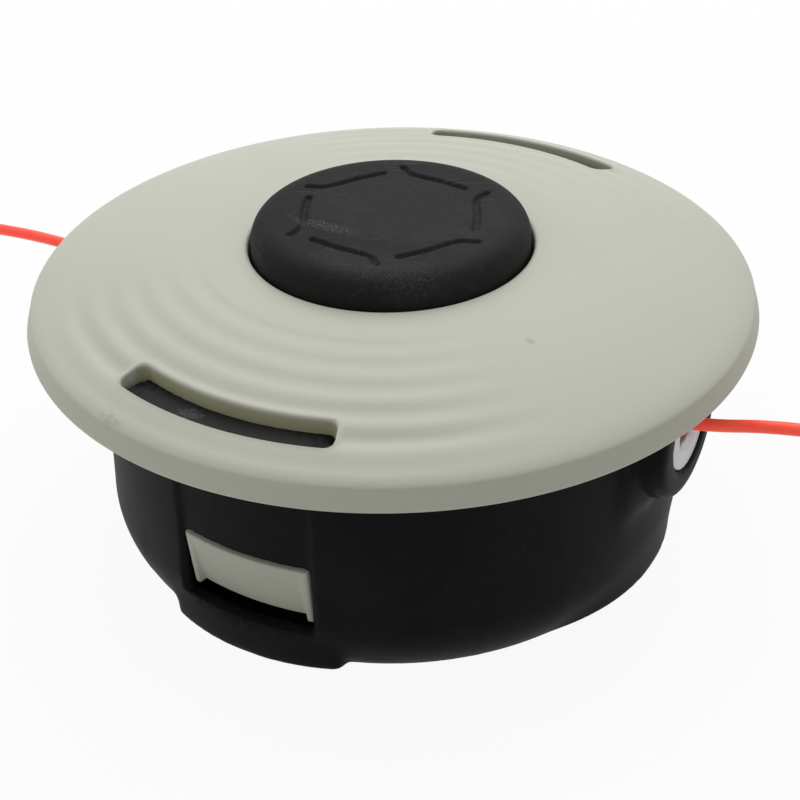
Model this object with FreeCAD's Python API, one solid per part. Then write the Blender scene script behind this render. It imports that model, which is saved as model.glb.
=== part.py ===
"""Two-line bump feed trimmer head, standing on its mounting side with the bump button up.

All sizes are in millimetres.  Z is the turning axis, the two eyelets lie on X and the two
latches on Y.  The origin is the middle of the mounting face.
"""
import math
import os

import FreeCAD
import Part
from FreeCAD import Vector

# Driving sizes
COVER_R = 70.0              # cover disc
LINE_D = 2.4                # cutting line
CHAMBER_H = 13.75           # each line chamber of the spool
INDEX_COUNT = 6             # index lugs in each ring

# Clearances
RUN = 0.1                   # radial play of the spool on its post and of a leg's root
FIT = 0.05                  # play round a piece that is pressed in
SLIDE = 0.3                 # gap beside a piece that moves
LUG_TIP_GAP = 0.6           # axial gap beyond a lug's tip
LUG_SIDE_GAP = 0.5          # gap between the driving sides of two lugs
THRUST_GAP = 0.05           # gap between thrust washer and spool web
BUTTON_GAP = 0.6            # gap between button and cover hole
OVERLAP = 0.5               # depth by which a fused form sinks into its carrier
OVERSHOOT = 1.0             # reach of a cutting tool past a face

# Walls
RIM_WALL = 3.7              # cover rim outside the housing flange
WALL = 2.2                  # housing
FLOOR_T = 2.5
HOUSING_FLANGE_T = 2.5
SPOOL_FLANGE_T = 2.0
DECK_T = 3.0                # cover
COLLAR_T = 2.4              # round the cover's hole
SLOT_WALL = 2.0             # inside the cover's slots
CORE_WALL = 3.0
BORE_WALL = 1.8
WEB_T = 3.0
SKIRT_T = 4.2               # button
BUTTON_SKIN = 3.2
WASHER_T = 1.2

# Radial chain, from the cover inwards
RIM_OVERHANG = 13.6
SPOOL_ROOM = 10.6           # space for the latch legs round the spool
DIVIDER_STEP = 7.3
CORE_SHARE = 0.511          # winding core as a share of the spool
POST_SHARE = 0.251          # post that carries the spool, as a share of it
SPIGOT_STEP = 0.9
HOUSING_R = COVER_R - RIM_OVERHANG
FLANGE_R = COVER_R - RIM_WALL - SLIDE
SPOOL_R = HOUSING_R - SPOOL_ROOM
DIVIDER_R = SPOOL_R - DIVIDER_STEP
CORE_R = CORE_SHARE * SPOOL_R
CORE_IN = CORE_R - CORE_WALL
POST_R = POST_SHARE * SPOOL_R
BORE_R = POST_R + RUN
SLEEVE_R = BORE_R + BORE_WALL
SPIGOT_R = CORE_R - SPIGOT_STEP
BUTTON_R = SPIGOT_R + SKIRT_T
HOLE_R = BUTTON_R + BUTTON_GAP

# Height chain, from the mounting face upwards
BASE_RECESS = 2.0
FLOOR_LUG_H = 4.0
INDEX_GAP = 2.5             # press needed before the lower lugs engage
SPOOL_LUG_H = 3.5
TOP_LUG_H = 3.4
SEAT_RISE = 1.7             # housing flange above the spool
FLOOR_Z = BASE_RECESS + FLOOR_T
SPOOL_Z = FLOOR_Z + FLOOR_LUG_H + INDEX_GAP + SPOOL_LUG_H
LOWER_Z = SPOOL_Z + SPOOL_FLANGE_T
DIVIDER_Z = LOWER_Z + CHAMBER_H
UPPER_Z = DIVIDER_Z + SPOOL_FLANGE_T
ROOF_Z = UPPER_Z + CHAMBER_H
SPOOL_TOP = ROOF_Z + SPOOL_FLANGE_T
COVER_RING_Z = SPOOL_TOP + TOP_LUG_H + LUG_TIP_GAP
SEAT_Z = SPOOL_TOP + SEAT_RISE
UNDER_Z = SEAT_Z - HOUSING_FLANGE_T

# Housing
BASE_STEP = 3.0             # mounting edge inside the wall
BASE_ARC_STEP = 0.2
BASE_ARC_Z = 4.6
SHOULDER_SWELL = 0.9
SHOULDER_Z = 12.5           # top of the rounded base
WAIST_SWELL = 0.6
WAIST_Z = 22.5
BASE_RING = 8.0             # width of the ring that it stands on
PAD_PROUD = 4.1             # pads under the latches, beyond the mounting edge
PAD_HALF = 19.5             # degrees
PAD_CURVE = 44.0            # radius of a pad's face
PAD_CORNER = 2.5            # rounding of a pad's ends
PAD_TOP = 13.5
PAD_ROUND = 1.2
BLOCK_ROOT = 4.0            # depth of an eyelet's block inside the mounting edge
FAIRING_PROUD = 3.5         # swelling under an eyelet, beyond the mounting edge
FAIRING_CURVE = 44.0
FAIRING_LOW_Z = 0.8
SHROUD_HALF = 15.5          # degrees, block round an eyelet boss
SHROUD_SWELL = 2.0
LAND_H = 2.9                # lands on the flange that show in the cover's slots
LAND_GAP = 0.5
LAND_TRIM = 0.8             # degrees
INNER_ROUND_W = 1.6         # slope between floor and wall
INNER_ROUND_H = 1.5
HUB_R = 16.0
HUB_Z = 0.6
RIB_COUNT = 8
RIB_W = 2.4
RIB_Z = 0.5
POST_SHORT = 2.0            # post below the upper flange
SHAFT_R = 6.4               # room for the shaft above the nut
SHAFT_ROOF = 4.0
BASE_R = HOUSING_R - BASE_STEP
BASE_ARC_R = HOUSING_R - BASE_ARC_STEP
SHOULDER_R = HOUSING_R + SHOULDER_SWELL
WAIST_R = HOUSING_R + WAIST_SWELL
PAD_R = BASE_R + PAD_PROUD
POST_TOP = ROOF_Z - POST_SHORT
SHAFT_TOP = POST_TOP - SHAFT_ROOF

# Latches
TAB_HALF_W = 13.0           # visible tab
TAB_SWEEP = 18.0            # degrees, ring that the tab is cut from
TAB_LOW_Z = 10.4
TAB_HIGH_Z = 22.4
TAB_LOW_SINK = 3.4          # tab behind the shoulder and the waist of the wall
TAB_HIGH_SINK = 0.2
TAB_RIB_W = 1.6             # ribs at the tab's sides
TAB_RIB_H = 1.3
TAB_FOOT = 0.6              # ribs below the tab
FOOT_GAP = 1.0              # gap below the ribs
SCOOP_HALF = 14.4           # degrees, finger scoop
SCOOP_LOW_SINK = 1.1        # scoop behind the shoulder, the waist and the top of the wall
SCOOP_MID_SINK = 0.8
SCOOP_SHORT = 9.0           # scoop's top below the seat
SCOOP_TOP_SINK = 0.3
SCOOP_REACH = 6.0
LEG_ROOM = 4.9              # between spool and leg
LEG_T = 2.1
LEG_HALF_W = 9.2
ROOT_R = 1.7                # rounded root of a leg
ROOT_RISE = 0.9             # root above the seat
SADDLE_HALF_T = 2.7
SADDLE_SIDE = 1.5
TAB_LOW_R = SHOULDER_R - TAB_LOW_SINK
TAB_HIGH_R = WAIST_R - TAB_HIGH_SINK
SCOOP_TOP_Z = SEAT_Z - SCOOP_SHORT
LEG_IN = SPOOL_R + LEG_ROOM
LEG_MID = LEG_IN + LEG_T / 2
ROOT_Z = SEAT_Z + ROOT_RISE

# Eyelets
EYELET_DROP = 12.2          # axis below the housing flange
BOSS_R = 13.8
BOSS_PROUD = 6.0
BOSS_ROUND = 2.5
EYE_FLANGE_R = 8.0
EYE_FLANGE_T = 2.0
EYE_FLANGE_ROUND = 0.6
EYE_SINK = 2.4              # depth of the flange in the boss
EYE_SLEEVE_R = 5.6
EYE_BORE_R = 3.2
EYE_MOUTH = 2.0             # rounding at the ends of the bore
EYE_DEPTH = 7.0             # inner end inside the wall
EYELET_Z = UNDER_Z - EYELET_DROP
BOSS_FACE = HOUSING_R + BOSS_PROUD
EYE_IN = HOUSING_R - EYE_DEPTH

# Drive nut, for a left-hand M12 x 1.5 thread
NUT_AF = 16.0
NUT_LOW_Z = 1.0
NUT_H = 23.0
NUT_BORE_R = 5.2

# Cover
RIM_DROP = 3.0              # lower edge of the rim below the seat
RIM_EDGE = 0.3
RIM_MAX_DROP = 1.9
RIM_SIDE_STEP = 0.9
RIM_SIDE_RISE = 1.2
RIM_BULGE_STEP = 2.6
RIM_BULGE_RISE = 2.95
DECK_EDGE_STEP = 8.0
DECK_EDGE_RISE = 4.45
DECK_TOP_RISE = 9.8
HOLE_LIP = 0.8
SLOT_HALF = 20.5            # degrees
SLOT_IN_STEP = 14.6
SLOT_OUT_STEP = 7.8
SLOT_ROUND = 1.8
SEAT_STEP = 2.0             # cover's seat outside its slots
UNDER_STEP = 0.8
RIPPLE_COUNT = 6
RIPPLE_MARGIN_IN = 5.8      # first ripple outside the hole
RIPPLE_MARGIN_OUT = 1.9     # last ripple inside the slots
RIPPLE_DEPTH = 0.4
RIPPLE_TOOL = 4.5           # round of the ripple tool
RIPPLE_HALF = 58.0          # degrees over which a ripple fades out
RIM_LOW_Z = SEAT_Z - RIM_DROP
DECK_EDGE_R = COVER_R - DECK_EDGE_STEP
DECK_EDGE_Z = SEAT_Z + DECK_EDGE_RISE
DECK_TOP_Z = SEAT_Z + DECK_TOP_RISE
SLOT_IN = COVER_R - SLOT_IN_STEP
SLOT_OUT = COVER_R - SLOT_OUT_STEP

# Index lugs
TOP_LUG_STEP_IN = 4.8       # outside the cover's hole
TOP_LUG_STEP_OUT = 1.0      # beyond the divider
LOW_LUG_STEP_IN = 6.6       # outside the core
LOW_LUG_STEP_OUT = 1.0      # inside the divider
LUG_TIP_W = 5.0
LUG_RAMP_W = 4.0
TOP_LUG_IN = HOLE_R + TOP_LUG_STEP_IN
TOP_LUG_OUT = DIVIDER_R + TOP_LUG_STEP_OUT
LOW_LUG_IN = CORE_R + LOW_LUG_STEP_IN
LOW_LUG_OUT = DIVIDER_R - LOW_LUG_STEP_OUT

# Button
BUTTON_RISE = 15.3          # top above the seat
BUTTON_FLAT_STEP = 4.6
BUTTON_EDGE_STEP = 1.2
BUTTON_EDGE_DROP = 1.3
BUTTON_SIDE_DROP = 4.8
SPIGOT_H = 8.0
BEAD = 0.5
BEAD_W = 1.6
BEAD_DROP = 3.5
LEDGE_GAP = 0.4             # above the spigot
DOME_STEP = 6.0
GROOVE_COUNT = 6
GROOVE_R = 0.85
GROOVE_LIFT = 0.15          # groove's centre above the face
GROOVE_STEP = 10.0          # groove inside the button's edge
GROOVE_SWING = 0.7
GROOVE_BOW = 0.3
GROOVE_TURN = 1.0
GROOVE_END = 3.4            # hooked end outside the groove
GROOVE_ANGLES = (-26.0, -13.0, 0.0, 12.0, 18.5, 22.0)
BUTTON_TOP = SEAT_Z + BUTTON_RISE
BUTTON_FLAT_R = BUTTON_R - BUTTON_FLAT_STEP
GROOVE_MID_R = BUTTON_R - GROOVE_STEP
BEAD_Z = SPOOL_TOP + SPIGOT_H - BEAD_DROP

# Spool details
WEB_DROP = 3.0              # web below the spool's top
SLEEVE_LIFT = 3.0           # sleeve above the spool's lower face
NOTCH_DEPTH = 4.0           # line notches in the flanges
NOTCH_W = 2.8
WIND_GAP = 0.25             # winding to flange
WIND_VALLEY = 1.2           # winding below the divider's edge
WIND_CREST = 0.3
WEB_Z = SPOOL_TOP - WEB_DROP - WEB_T

# Spring and washers
WIRE_D = 2.0
COIL_TURNS = 6
COIL_STEPS = 16             # facets along one turn
WIRE_SIDES = 6              # facets round the wire
COIL_CLOSE = 1.1            # pitch of the end turns in wire diameters
WASHER_GAP = 0.4
COIL_R = (SLEEVE_R + CORE_IN) / 2

# Line tails: each route runs from the winding through the eyelet and out
LEAD_R = DIVIDER_R + LINE_D / 2 + SLIDE
LEAD_REACH = 3.0
LEAD_BACK = 3.7
LEAD_SIDE = 16.9
LEAD_OFF = 0.9
MOUTH_BACK = 1.6
TAIL_NEAR = 12.0            # run points beyond the cover
TAIL_FAR = 32.5
RIGHT_RISES = (1.6, -0.2, 0.4, 6.7, 8.0)
RIGHT_SIDES = (0.3, 1.5)
LEFT_RISES = (-4.8, -1.6, 0.2, 5.1, 3.2)
LEFT_SIDES = (0.3, 1.0)

LATCH_AZ = {"latch_front": -90.0, "latch_back": 90.0}
EYELET_AZ = {"eyelet_right": 0.0, "eyelet_left": 180.0}
UP = Vector(0, 0, 1)
ZERO = Vector(0, 0, 0)
QUARTER = 1.0 - math.sqrt(0.5)


def line(a, b):
    """Straight edge of a profile, between (r, z) points."""
    return Part.LineSegment(Vector(a[0], 0, a[1]), Vector(b[0], 0, b[1])).toShape()


def arc(a, m, b):
    """Arc of a profile through three (r, z) points."""
    return Part.Arc(Vector(a[0], 0, a[1]), Vector(m[0], 0, m[1]), Vector(b[0], 0, b[1])).toShape()


def lathe(edges, degrees=360.0, start=0.0):
    """Solid turned about Z from a closed row of profile edges."""
    solid = Part.Face(Part.Wire(edges)).revolve(ZERO, UP, degrees)
    solid.rotate(ZERO, UP, start)
    return solid


def turned(points, degrees=360.0, start=0.0):
    """Solid turned about Z from the corners of a profile."""
    closed = points + points[:1]
    return lathe([line(a, b) for a, b in zip(closed, closed[1:])], degrees, start)


def ring(r_in, r_out, z_low, z_high):
    """Plain ring about Z."""
    return turned([(r_in, z_low), (r_out, z_low), (r_out, z_high), (r_in, z_high)])


def sector(points, half, middle):
    """Profile corners turned through twice half degrees about a middle azimuth."""
    return turned(points, 2 * half, middle - half)


def about_z(shape, degrees):
    """Copy of a shape turned about Z."""
    copy = shape.copy()
    copy.rotate(ZERO, UP, degrees)
    return copy


def hexagon(across_flats, z_low, height):
    """Hexagonal prism about Z."""
    r = across_flats / math.sqrt(3.0)
    corners = [Vector(r * math.cos(math.radians(a)), r * math.sin(math.radians(a)), z_low)
               for a in range(0, 361, 60)]
    return Part.Face(Part.makePolygon(corners)).extrude(Vector(0, 0, height))


def lugs(r_in, r_out, z_base, height, side, shift, phase):
    """Ring of index lugs with flat driving faces; the ramps lie on the given side."""
    corners = [(shift, z_base), (shift, z_base + height), (shift + side * LUG_TIP_W, z_base + height),
               (shift + side * (LUG_TIP_W + LUG_RAMP_W), z_base)]
    points = [Vector(r_in, y, z) for y, z in corners + corners[:1]]
    one = Part.Face(Part.makePolygon(points)).extrude(Vector(r_out - r_in, 0, 0))
    return [about_z(one, phase + i * 360.0 / INDEX_COUNT) for i in range(INDEX_COUNT)]


def bowl():
    """Outer form of the housing, still solid."""
    base, low = (BASE_R, 0.0), (BASE_ARC_R, BASE_ARC_Z)
    shoulder, waist = (SHOULDER_R, SHOULDER_Z), (WAIST_R, WAIST_Z)
    edges = [line((0, 0), base), arc(base, low, shoulder), line(shoulder, waist),
             line(waist, (HOUSING_R, UNDER_Z)), line((HOUSING_R, UNDER_Z), (FLANGE_R, UNDER_Z)),
             line((FLANGE_R, UNDER_Z), (FLANGE_R, SEAT_Z)), line((FLANGE_R, SEAT_Z), (0, SEAT_Z)),
             line((0, SEAT_Z), (0, 0))]
    return lathe(edges)


def latch_pad(azimuth):
    """Pad that stands proud of the bowl under a latch, with rounded ends and lower edge."""
    drum = Part.makeCylinder(PAD_CURVE, PAD_TOP, Vector(PAD_R - PAD_CURVE, 0, 0))
    pad = drum.common(sector([(0, 0), (COVER_R, 0), (COVER_R, PAD_TOP), (0, PAD_TOP)], PAD_HALF, 0.0))
    ends = [e for e in pad.Edges if e.BoundBox.ZLength > PAD_TOP - OVERLAP and e.BoundBox.XMin > PAD_CURVE]
    pad = pad.makeFillet(PAD_CORNER, ends)
    foot = [e for e in pad.Edges if e.BoundBox.ZMax < OVERLAP and e.BoundBox.XMin > PAD_CURVE]
    return about_z(pad.makeFillet(PAD_ROUND, foot), azimuth)


def fairing(azimuth):
    """Swelling of the bowl under an eyelet, which fades out to both sides, and the block round its boss."""
    corner = Vector(BASE_R + FAIRING_PROUD - FAIRING_CURVE, 0, FAIRING_LOW_Z)
    swell = Part.makeCylinder(FAIRING_CURVE, SHOULDER_Z - FAIRING_LOW_Z, corner)
    foot = [e for e in swell.Edges if e.BoundBox.ZMax < FAIRING_LOW_Z + OVERLAP]
    inner, out, low = BASE_R - BLOCK_ROOT, HOUSING_R + SHROUD_SWELL, EYELET_Z - BOSS_R
    block = sector([(inner, low), (out, low), (out, SEAT_Z), (inner, SEAT_Z)], SHROUD_HALF, 0.0)
    return [about_z(swell.makeFillet(PAD_ROUND, foot), azimuth), about_z(block, azimuth)]


def land(azimuth):
    """Raised land on the flange that shows in a slot of the cover."""
    r_in, r_out = SLOT_IN + LAND_GAP, SLOT_OUT - LAND_GAP
    low, top = SEAT_Z - OVERLAP, SEAT_Z + LAND_H
    corners = [(r_in, low), (r_out, low), (r_out, top), (r_in, top)]
    return sector(corners, SLOT_HALF - LAND_TRIM, azimuth)


def eyelet_rod(radius, x_low, x_high):
    """Cylinder on the axis of the eyelet at azimuth 0."""
    return Part.makeCylinder(radius, x_high - x_low, Vector(x_low, 0, EYELET_Z), Vector(1, 0, 0))


def boss(azimuth):
    """Round boss of an eyelet with a rounded outer edge."""
    rod = eyelet_rod(BOSS_R, EYE_IN, BOSS_FACE)
    rim = [e for e in rod.Edges if e.BoundBox.XLength < 1e-6 and e.BoundBox.XMin > EYE_IN + OVERLAP]
    return about_z(rod.makeFillet(BOSS_ROUND, rim), azimuth)


def latch_cuts(azimuth):
    """Finger scoop and window of a latch."""
    out, half_w = PAD_R + SCOOP_REACH, TAB_HALF_W + SLIDE
    low = TAB_LOW_Z - TAB_FOOT - FOOT_GAP
    scoop = [(SHOULDER_R - SCOOP_LOW_SINK, low), (WAIST_R - SCOOP_MID_SINK, WAIST_Z),
             (HOUSING_R - SCOOP_TOP_SINK, SCOOP_TOP_Z), (out, SCOOP_TOP_Z), (out, low)]
    window = Part.makeBox(out - LEG_IN, 2 * half_w, TAB_HIGH_Z + SLIDE - low, Vector(LEG_IN, -half_w, low))
    return [sector(scoop, SCOOP_HALF, azimuth), about_z(window, azimuth)]


def underside():
    """Recess of the mounting side and the ribs that cross it."""
    ring_in = BASE_R - BASE_RING
    recess = [ring(HUB_R, ring_in, -OVERSHOOT, BASE_RECESS), Part.makeCylinder(HUB_R, HUB_Z)]
    corner = Vector(HUB_R - OVERLAP, -RIB_W / 2, RIB_Z)
    rib = Part.makeBox(ring_in - HUB_R + 2 * OVERLAP, RIB_W, BASE_RECESS + OVERLAP - RIB_Z, corner)
    step = 360.0 / RIB_COUNT
    return recess, [about_z(rib, (i + 0.5) * step) for i in range(RIB_COUNT)]


def housing():
    """Bowl with flange, pads, eyelet bosses, latch windows, hub, post and floor lugs."""
    body = bowl()
    for azimuth in LATCH_AZ.values():
        body = body.fuse([latch_pad(azimuth), land(azimuth)])
    for azimuth in EYELET_AZ.values():
        body = body.fuse(fairing(azimuth) + [boss(azimuth)])
    inner = [(0, FLOOR_Z), (SHOULDER_R - WALL - INNER_ROUND_W, FLOOR_Z),
             (SHOULDER_R - WALL, SHOULDER_Z - INNER_ROUND_H), (WAIST_R - WALL, WAIST_Z),
             (HOUSING_R - WALL, SEAT_Z), (HOUSING_R - WALL, SEAT_Z + OVERSHOOT), (0, SEAT_Z + OVERSHOOT)]
    body = body.cut(turned(inner))
    for azimuth in LATCH_AZ.values():
        body = body.cut(latch_cuts(azimuth))
    for azimuth in EYELET_AZ.values():
        bore = eyelet_rod(EYE_SLEEVE_R + FIT, EYE_IN - OVERSHOOT, COVER_R)
        sink = eyelet_rod(EYE_FLANGE_R + FIT, BOSS_FACE - EYE_SINK, COVER_R)
        body = body.cut([about_z(bore, azimuth), about_z(sink, azimuth)])
    recess, ribs = underside()
    body = body.cut(recess).fuse(ribs)
    body = body.fuse(Part.makeCylinder(POST_R, POST_TOP - HUB_Z, Vector(0, 0, HUB_Z)))
    body = body.fuse(lugs(LOW_LUG_IN, LOW_LUG_OUT, FLOOR_Z - OVERLAP, FLOOR_LUG_H + OVERLAP, 1, 0.0, 0.0))
    body = body.cut(hexagon(NUT_AF + 2 * FIT, 0.0, NUT_LOW_Z + NUT_H))
    return body.cut(Part.makeCylinder(SHAFT_R, SHAFT_TOP)).removeSplitter()


def drive_nut():
    """Hexagonal steel nut pressed into the hub, bored to the thread's crest."""
    nut = hexagon(NUT_AF, NUT_LOW_Z, NUT_H)
    return nut.cut(Part.makeCylinder(NUT_BORE_R, NUT_LOW_Z + NUT_H + OVERSHOOT))


def eyelet(azimuth):
    """Flanged metal sleeve with a rounded mouth at both ends of its bore."""
    b, m, e, f = EYE_BORE_R, EYE_MOUTH, EYE_FLANGE_ROUND, EYE_FLANGE_R
    back = BOSS_FACE - EYE_SINK
    face, low = back + EYE_FLANGE_T, EYE_IN
    edges = [line((b, low + m), (b, face - m)),
             arc((b, face - m), (b + m * QUARTER, face - m * QUARTER), (b + m, face)),
             line((b + m, face), (f - e, face)),
             arc((f - e, face), (f - e * QUARTER, face - e * QUARTER), (f, face - e)),
             line((f, face - e), (f, back)), line((f, back), (EYE_SLEEVE_R, back)),
             line((EYE_SLEEVE_R, back), (EYE_SLEEVE_R, low)), line((EYE_SLEEVE_R, low), (b + m, low)),
             arc((b + m, low), (b + m * QUARTER, low + m * QUARTER), (b, low + m))]
    sleeve = lathe(edges)
    sleeve.rotate(ZERO, Vector(0, 1, 0), 90)
    sleeve.translate(Vector(0, 0, EYELET_Z))
    return about_z(sleeve, azimuth)


def deck_z(radius):
    """Height of the cover's deck at a radius."""
    share = (DECK_EDGE_R - radius) / (DECK_EDGE_R - HOLE_R)
    return DECK_EDGE_Z + share * (DECK_TOP_Z - DECK_EDGE_Z)


def cover_disc():
    """Turned form of the cover: deck, rounded rim, rabbet for the housing flange and hole collar."""
    lip_r, lip_z, lip = HOLE_R + HOLE_LIP, deck_z(HOLE_R + HOLE_LIP), HOLE_LIP
    rim_max = (COVER_R, SEAT_Z - RIM_MAX_DROP)
    rim_side = (COVER_R - RIM_SIDE_STEP, SEAT_Z + RIM_SIDE_RISE)
    bulge = (COVER_R - RIM_BULGE_STEP, SEAT_Z + RIM_BULGE_RISE)
    rim_low, deck_edge = (COVER_R - RIM_EDGE, RIM_LOW_Z), (DECK_EDGE_R, DECK_EDGE_Z)
    rabbet, seat_in = FLANGE_R + SLIDE, SLOT_OUT + SEAT_STEP
    collar_r, collar_z = HOLE_R + COLLAR_T, COVER_RING_Z + LUG_TIP_GAP
    under_edge = DECK_EDGE_Z - DECK_T
    under_rim = (seat_in, under_edge - UNDER_STEP)
    edges = [line((HOLE_R, collar_z), (HOLE_R, lip_z - lip)),
             arc((HOLE_R, lip_z - lip), (HOLE_R + lip * QUARTER, lip_z - lip * QUARTER), (lip_r, lip_z)),
             line((lip_r, lip_z), deck_edge), arc(deck_edge, bulge, rim_side), line(rim_side, rim_max),
             line(rim_max, rim_low), line(rim_low, (rabbet, RIM_LOW_Z)),
             line((rabbet, RIM_LOW_Z), (rabbet, SEAT_Z)), line((rabbet, SEAT_Z), (seat_in, SEAT_Z)),
             line((seat_in, SEAT_Z), under_rim), line(under_rim, (DECK_EDGE_R, under_edge)),
             line((DECK_EDGE_R, under_edge), (collar_r, deck_z(collar_r) - DECK_T)),
             line((collar_r, deck_z(collar_r) - DECK_T), (collar_r, collar_z)),
             line((collar_r, collar_z), (HOLE_R, collar_z))]
    return lathe(edges)


def slot_tool(azimuth):
    """Curved slot with rounded ends, taller than the cover."""
    corners = [(SLOT_IN, RIM_LOW_Z), (SLOT_OUT, RIM_LOW_Z), (SLOT_OUT, DECK_TOP_Z), (SLOT_IN, DECK_TOP_Z)]
    plate = sector(corners, SLOT_HALF, azimuth)
    tall = [e for e in plate.Edges if e.BoundBox.XLength + e.BoundBox.YLength < 1e-6]
    return plate.makeFillet(SLOT_ROUND, tall)


def ripple_tool(radius, azimuth):
    """Leaning ring tool: its cut is deepest under the azimuth and fades out to both sides."""
    fade = 1.0 - math.cos(math.radians(RIPPLE_HALF))
    lean = RIPPLE_DEPTH / fade / radius
    tool = Part.makeTorus(radius, RIPPLE_TOOL)
    tool.rotate(ZERO, Vector(0, 1, 0), math.degrees(lean))
    lift = RIPPLE_TOOL - RIPPLE_DEPTH + radius * math.sin(lean)
    tool.translate(Vector(0, 0, deck_z(radius) + lift))
    return about_z(tool, azimuth)


def saddle(azimuth):
    """Block under the deck that holds the root of a latch leg."""
    half_w = LEG_HALF_W + SADDLE_SIDE
    corner = Vector(LEG_MID - SADDLE_HALF_T, -half_w, ROOT_Z)
    return about_z(Part.makeBox(2 * SADDLE_HALF_T, 2 * half_w, DECK_EDGE_Z - ROOT_Z, corner), azimuth)


def root_seat(azimuth):
    """Half-round seat of a leg's root, open downwards for the leg."""
    half_w, r = LEG_HALF_W + RUN, ROOT_R + RUN
    rod = Part.makeCylinder(r, 2 * half_w, Vector(LEG_MID, -half_w, ROOT_Z), Vector(0, 1, 0))
    opening = Part.makeBox(2 * r, 2 * half_w, ROOT_Z - RIM_LOW_Z, Vector(LEG_MID - r, -half_w, RIM_LOW_Z))
    return [about_z(rod, azimuth), about_z(opening, azimuth)]


def cover():
    """Grey disc with hole, two curved slots, ripples, lug ring and latch saddles."""
    body = cover_disc()
    lug_roof, wall_roof = deck_z(TOP_LUG_OUT) - DECK_T / 2, DECK_EDGE_Z - DECK_T / 2
    body = body.fuse([ring(TOP_LUG_IN - OVERLAP, TOP_LUG_OUT + OVERLAP, COVER_RING_Z, lug_roof),
                      ring(SLOT_IN - SLOT_WALL, SLOT_IN, SEAT_Z + SLIDE, wall_roof)])
    body = body.fuse([saddle(azimuth) for azimuth in LATCH_AZ.values()])
    body = body.fuse(lugs(TOP_LUG_IN, TOP_LUG_OUT, COVER_RING_Z + OVERLAP, -TOP_LUG_H - OVERLAP, -1,
                          -LUG_SIDE_GAP, 0.0))
    first, last = HOLE_R + RIPPLE_MARGIN_IN, SLOT_IN - RIPPLE_MARGIN_OUT
    step = (last - first) / (RIPPLE_COUNT - 1)
    for azimuth in LATCH_AZ.values():
        body = body.cut(root_seat(azimuth)).cut(slot_tool(azimuth))
        for i in range(RIPPLE_COUNT):
            body = body.cut(ripple_tool(first + i * step, azimuth))
    return body.removeSplitter()


def tab_slice(points, y_low, y_high):
    """Part of a turned profile between two planes that lie along the latch's travel."""
    box = Part.makeBox(COVER_R - LEG_MID, y_high - y_low, SEAT_Z, Vector(LEG_MID, y_low, 0))
    return sector(points, TAB_SWEEP, 0.0).common(box)


def latch(azimuth):
    """Leg that hangs from the cover, with its round root and the sloping tab that shows in the window."""
    leg = Part.makeBox(LEG_T, 2 * LEG_HALF_W, ROOT_Z - TAB_LOW_Z, Vector(LEG_IN, -LEG_HALF_W, TAB_LOW_Z))
    root = Part.makeCylinder(ROOT_R, 2 * LEG_HALF_W, Vector(LEG_MID, -LEG_HALF_W, ROOT_Z), Vector(0, 1, 0))
    face = [(LEG_IN, TAB_LOW_Z), (TAB_LOW_R, TAB_LOW_Z), (TAB_HIGH_R, TAB_HIGH_Z), (LEG_IN, TAB_HIGH_Z)]
    foot_z = TAB_LOW_Z - TAB_FOOT
    rib = [(LEG_IN, foot_z), (TAB_LOW_R + TAB_RIB_H, foot_z), (TAB_HIGH_R + FIT, TAB_HIGH_Z),
           (LEG_IN, TAB_HIGH_Z)]
    inner = TAB_HALF_W - TAB_RIB_W
    tab = tab_slice(face, -TAB_HALF_W, TAB_HALF_W)
    ribs = [tab_slice(rib, inner, TAB_HALF_W), tab_slice(rib, -TAB_HALF_W, -inner)]
    return about_z(leg.fuse([root, tab] + ribs).removeSplitter(), azimuth)


def spool():
    """Twin-chamber spool with bored sleeve, web, spigot for the button and lugs on both sides."""
    low = SPOOL_Z + SLEEVE_LIFT
    spigot_top = SPOOL_TOP + SPIGOT_H
    profile = [(CORE_IN, SPOOL_Z), (SPOOL_R, SPOOL_Z), (SPOOL_R, LOWER_Z), (CORE_R, LOWER_Z),
               (CORE_R, DIVIDER_Z), (DIVIDER_R, DIVIDER_Z), (DIVIDER_R, UPPER_Z), (CORE_R, UPPER_Z),
               (CORE_R, ROOF_Z), (SPOOL_R, ROOF_Z), (SPOOL_R, SPOOL_TOP), (SPIGOT_R, SPOOL_TOP),
               (SPIGOT_R, BEAD_Z), (SPIGOT_R + BEAD, BEAD_Z + BEAD),
               (SPIGOT_R + BEAD, BEAD_Z + BEAD_W - BEAD), (SPIGOT_R, BEAD_Z + BEAD_W),
               (SPIGOT_R, spigot_top), (CORE_IN, spigot_top),
               (CORE_IN, WEB_Z + WEB_T), (BORE_R, WEB_Z + WEB_T), (BORE_R, low), (SLEEVE_R, low),
               (SLEEVE_R, WEB_Z), (CORE_IN, WEB_Z)]
    body = turned(profile)
    body = body.fuse(lugs(TOP_LUG_IN, TOP_LUG_OUT, SPOOL_TOP - OVERLAP, TOP_LUG_H + OVERLAP, 1, 0.0, 0.0))
    body = body.fuse(lugs(LOW_LUG_IN, LOW_LUG_OUT, SPOOL_Z + OVERLAP, -SPOOL_LUG_H - OVERLAP, -1,
                          -LUG_SIDE_GAP, 180.0 / INDEX_COUNT))
    corner = Vector(SPOOL_R - NOTCH_DEPTH, -NOTCH_W / 2, SPOOL_Z - OVERSHOOT)
    notch = Part.makeBox(SPOOL_R, NOTCH_W, SPOOL_TOP, corner)
    return body.cut([about_z(notch, a) for a in (15.0, 195.0)]).removeSplitter()


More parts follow.
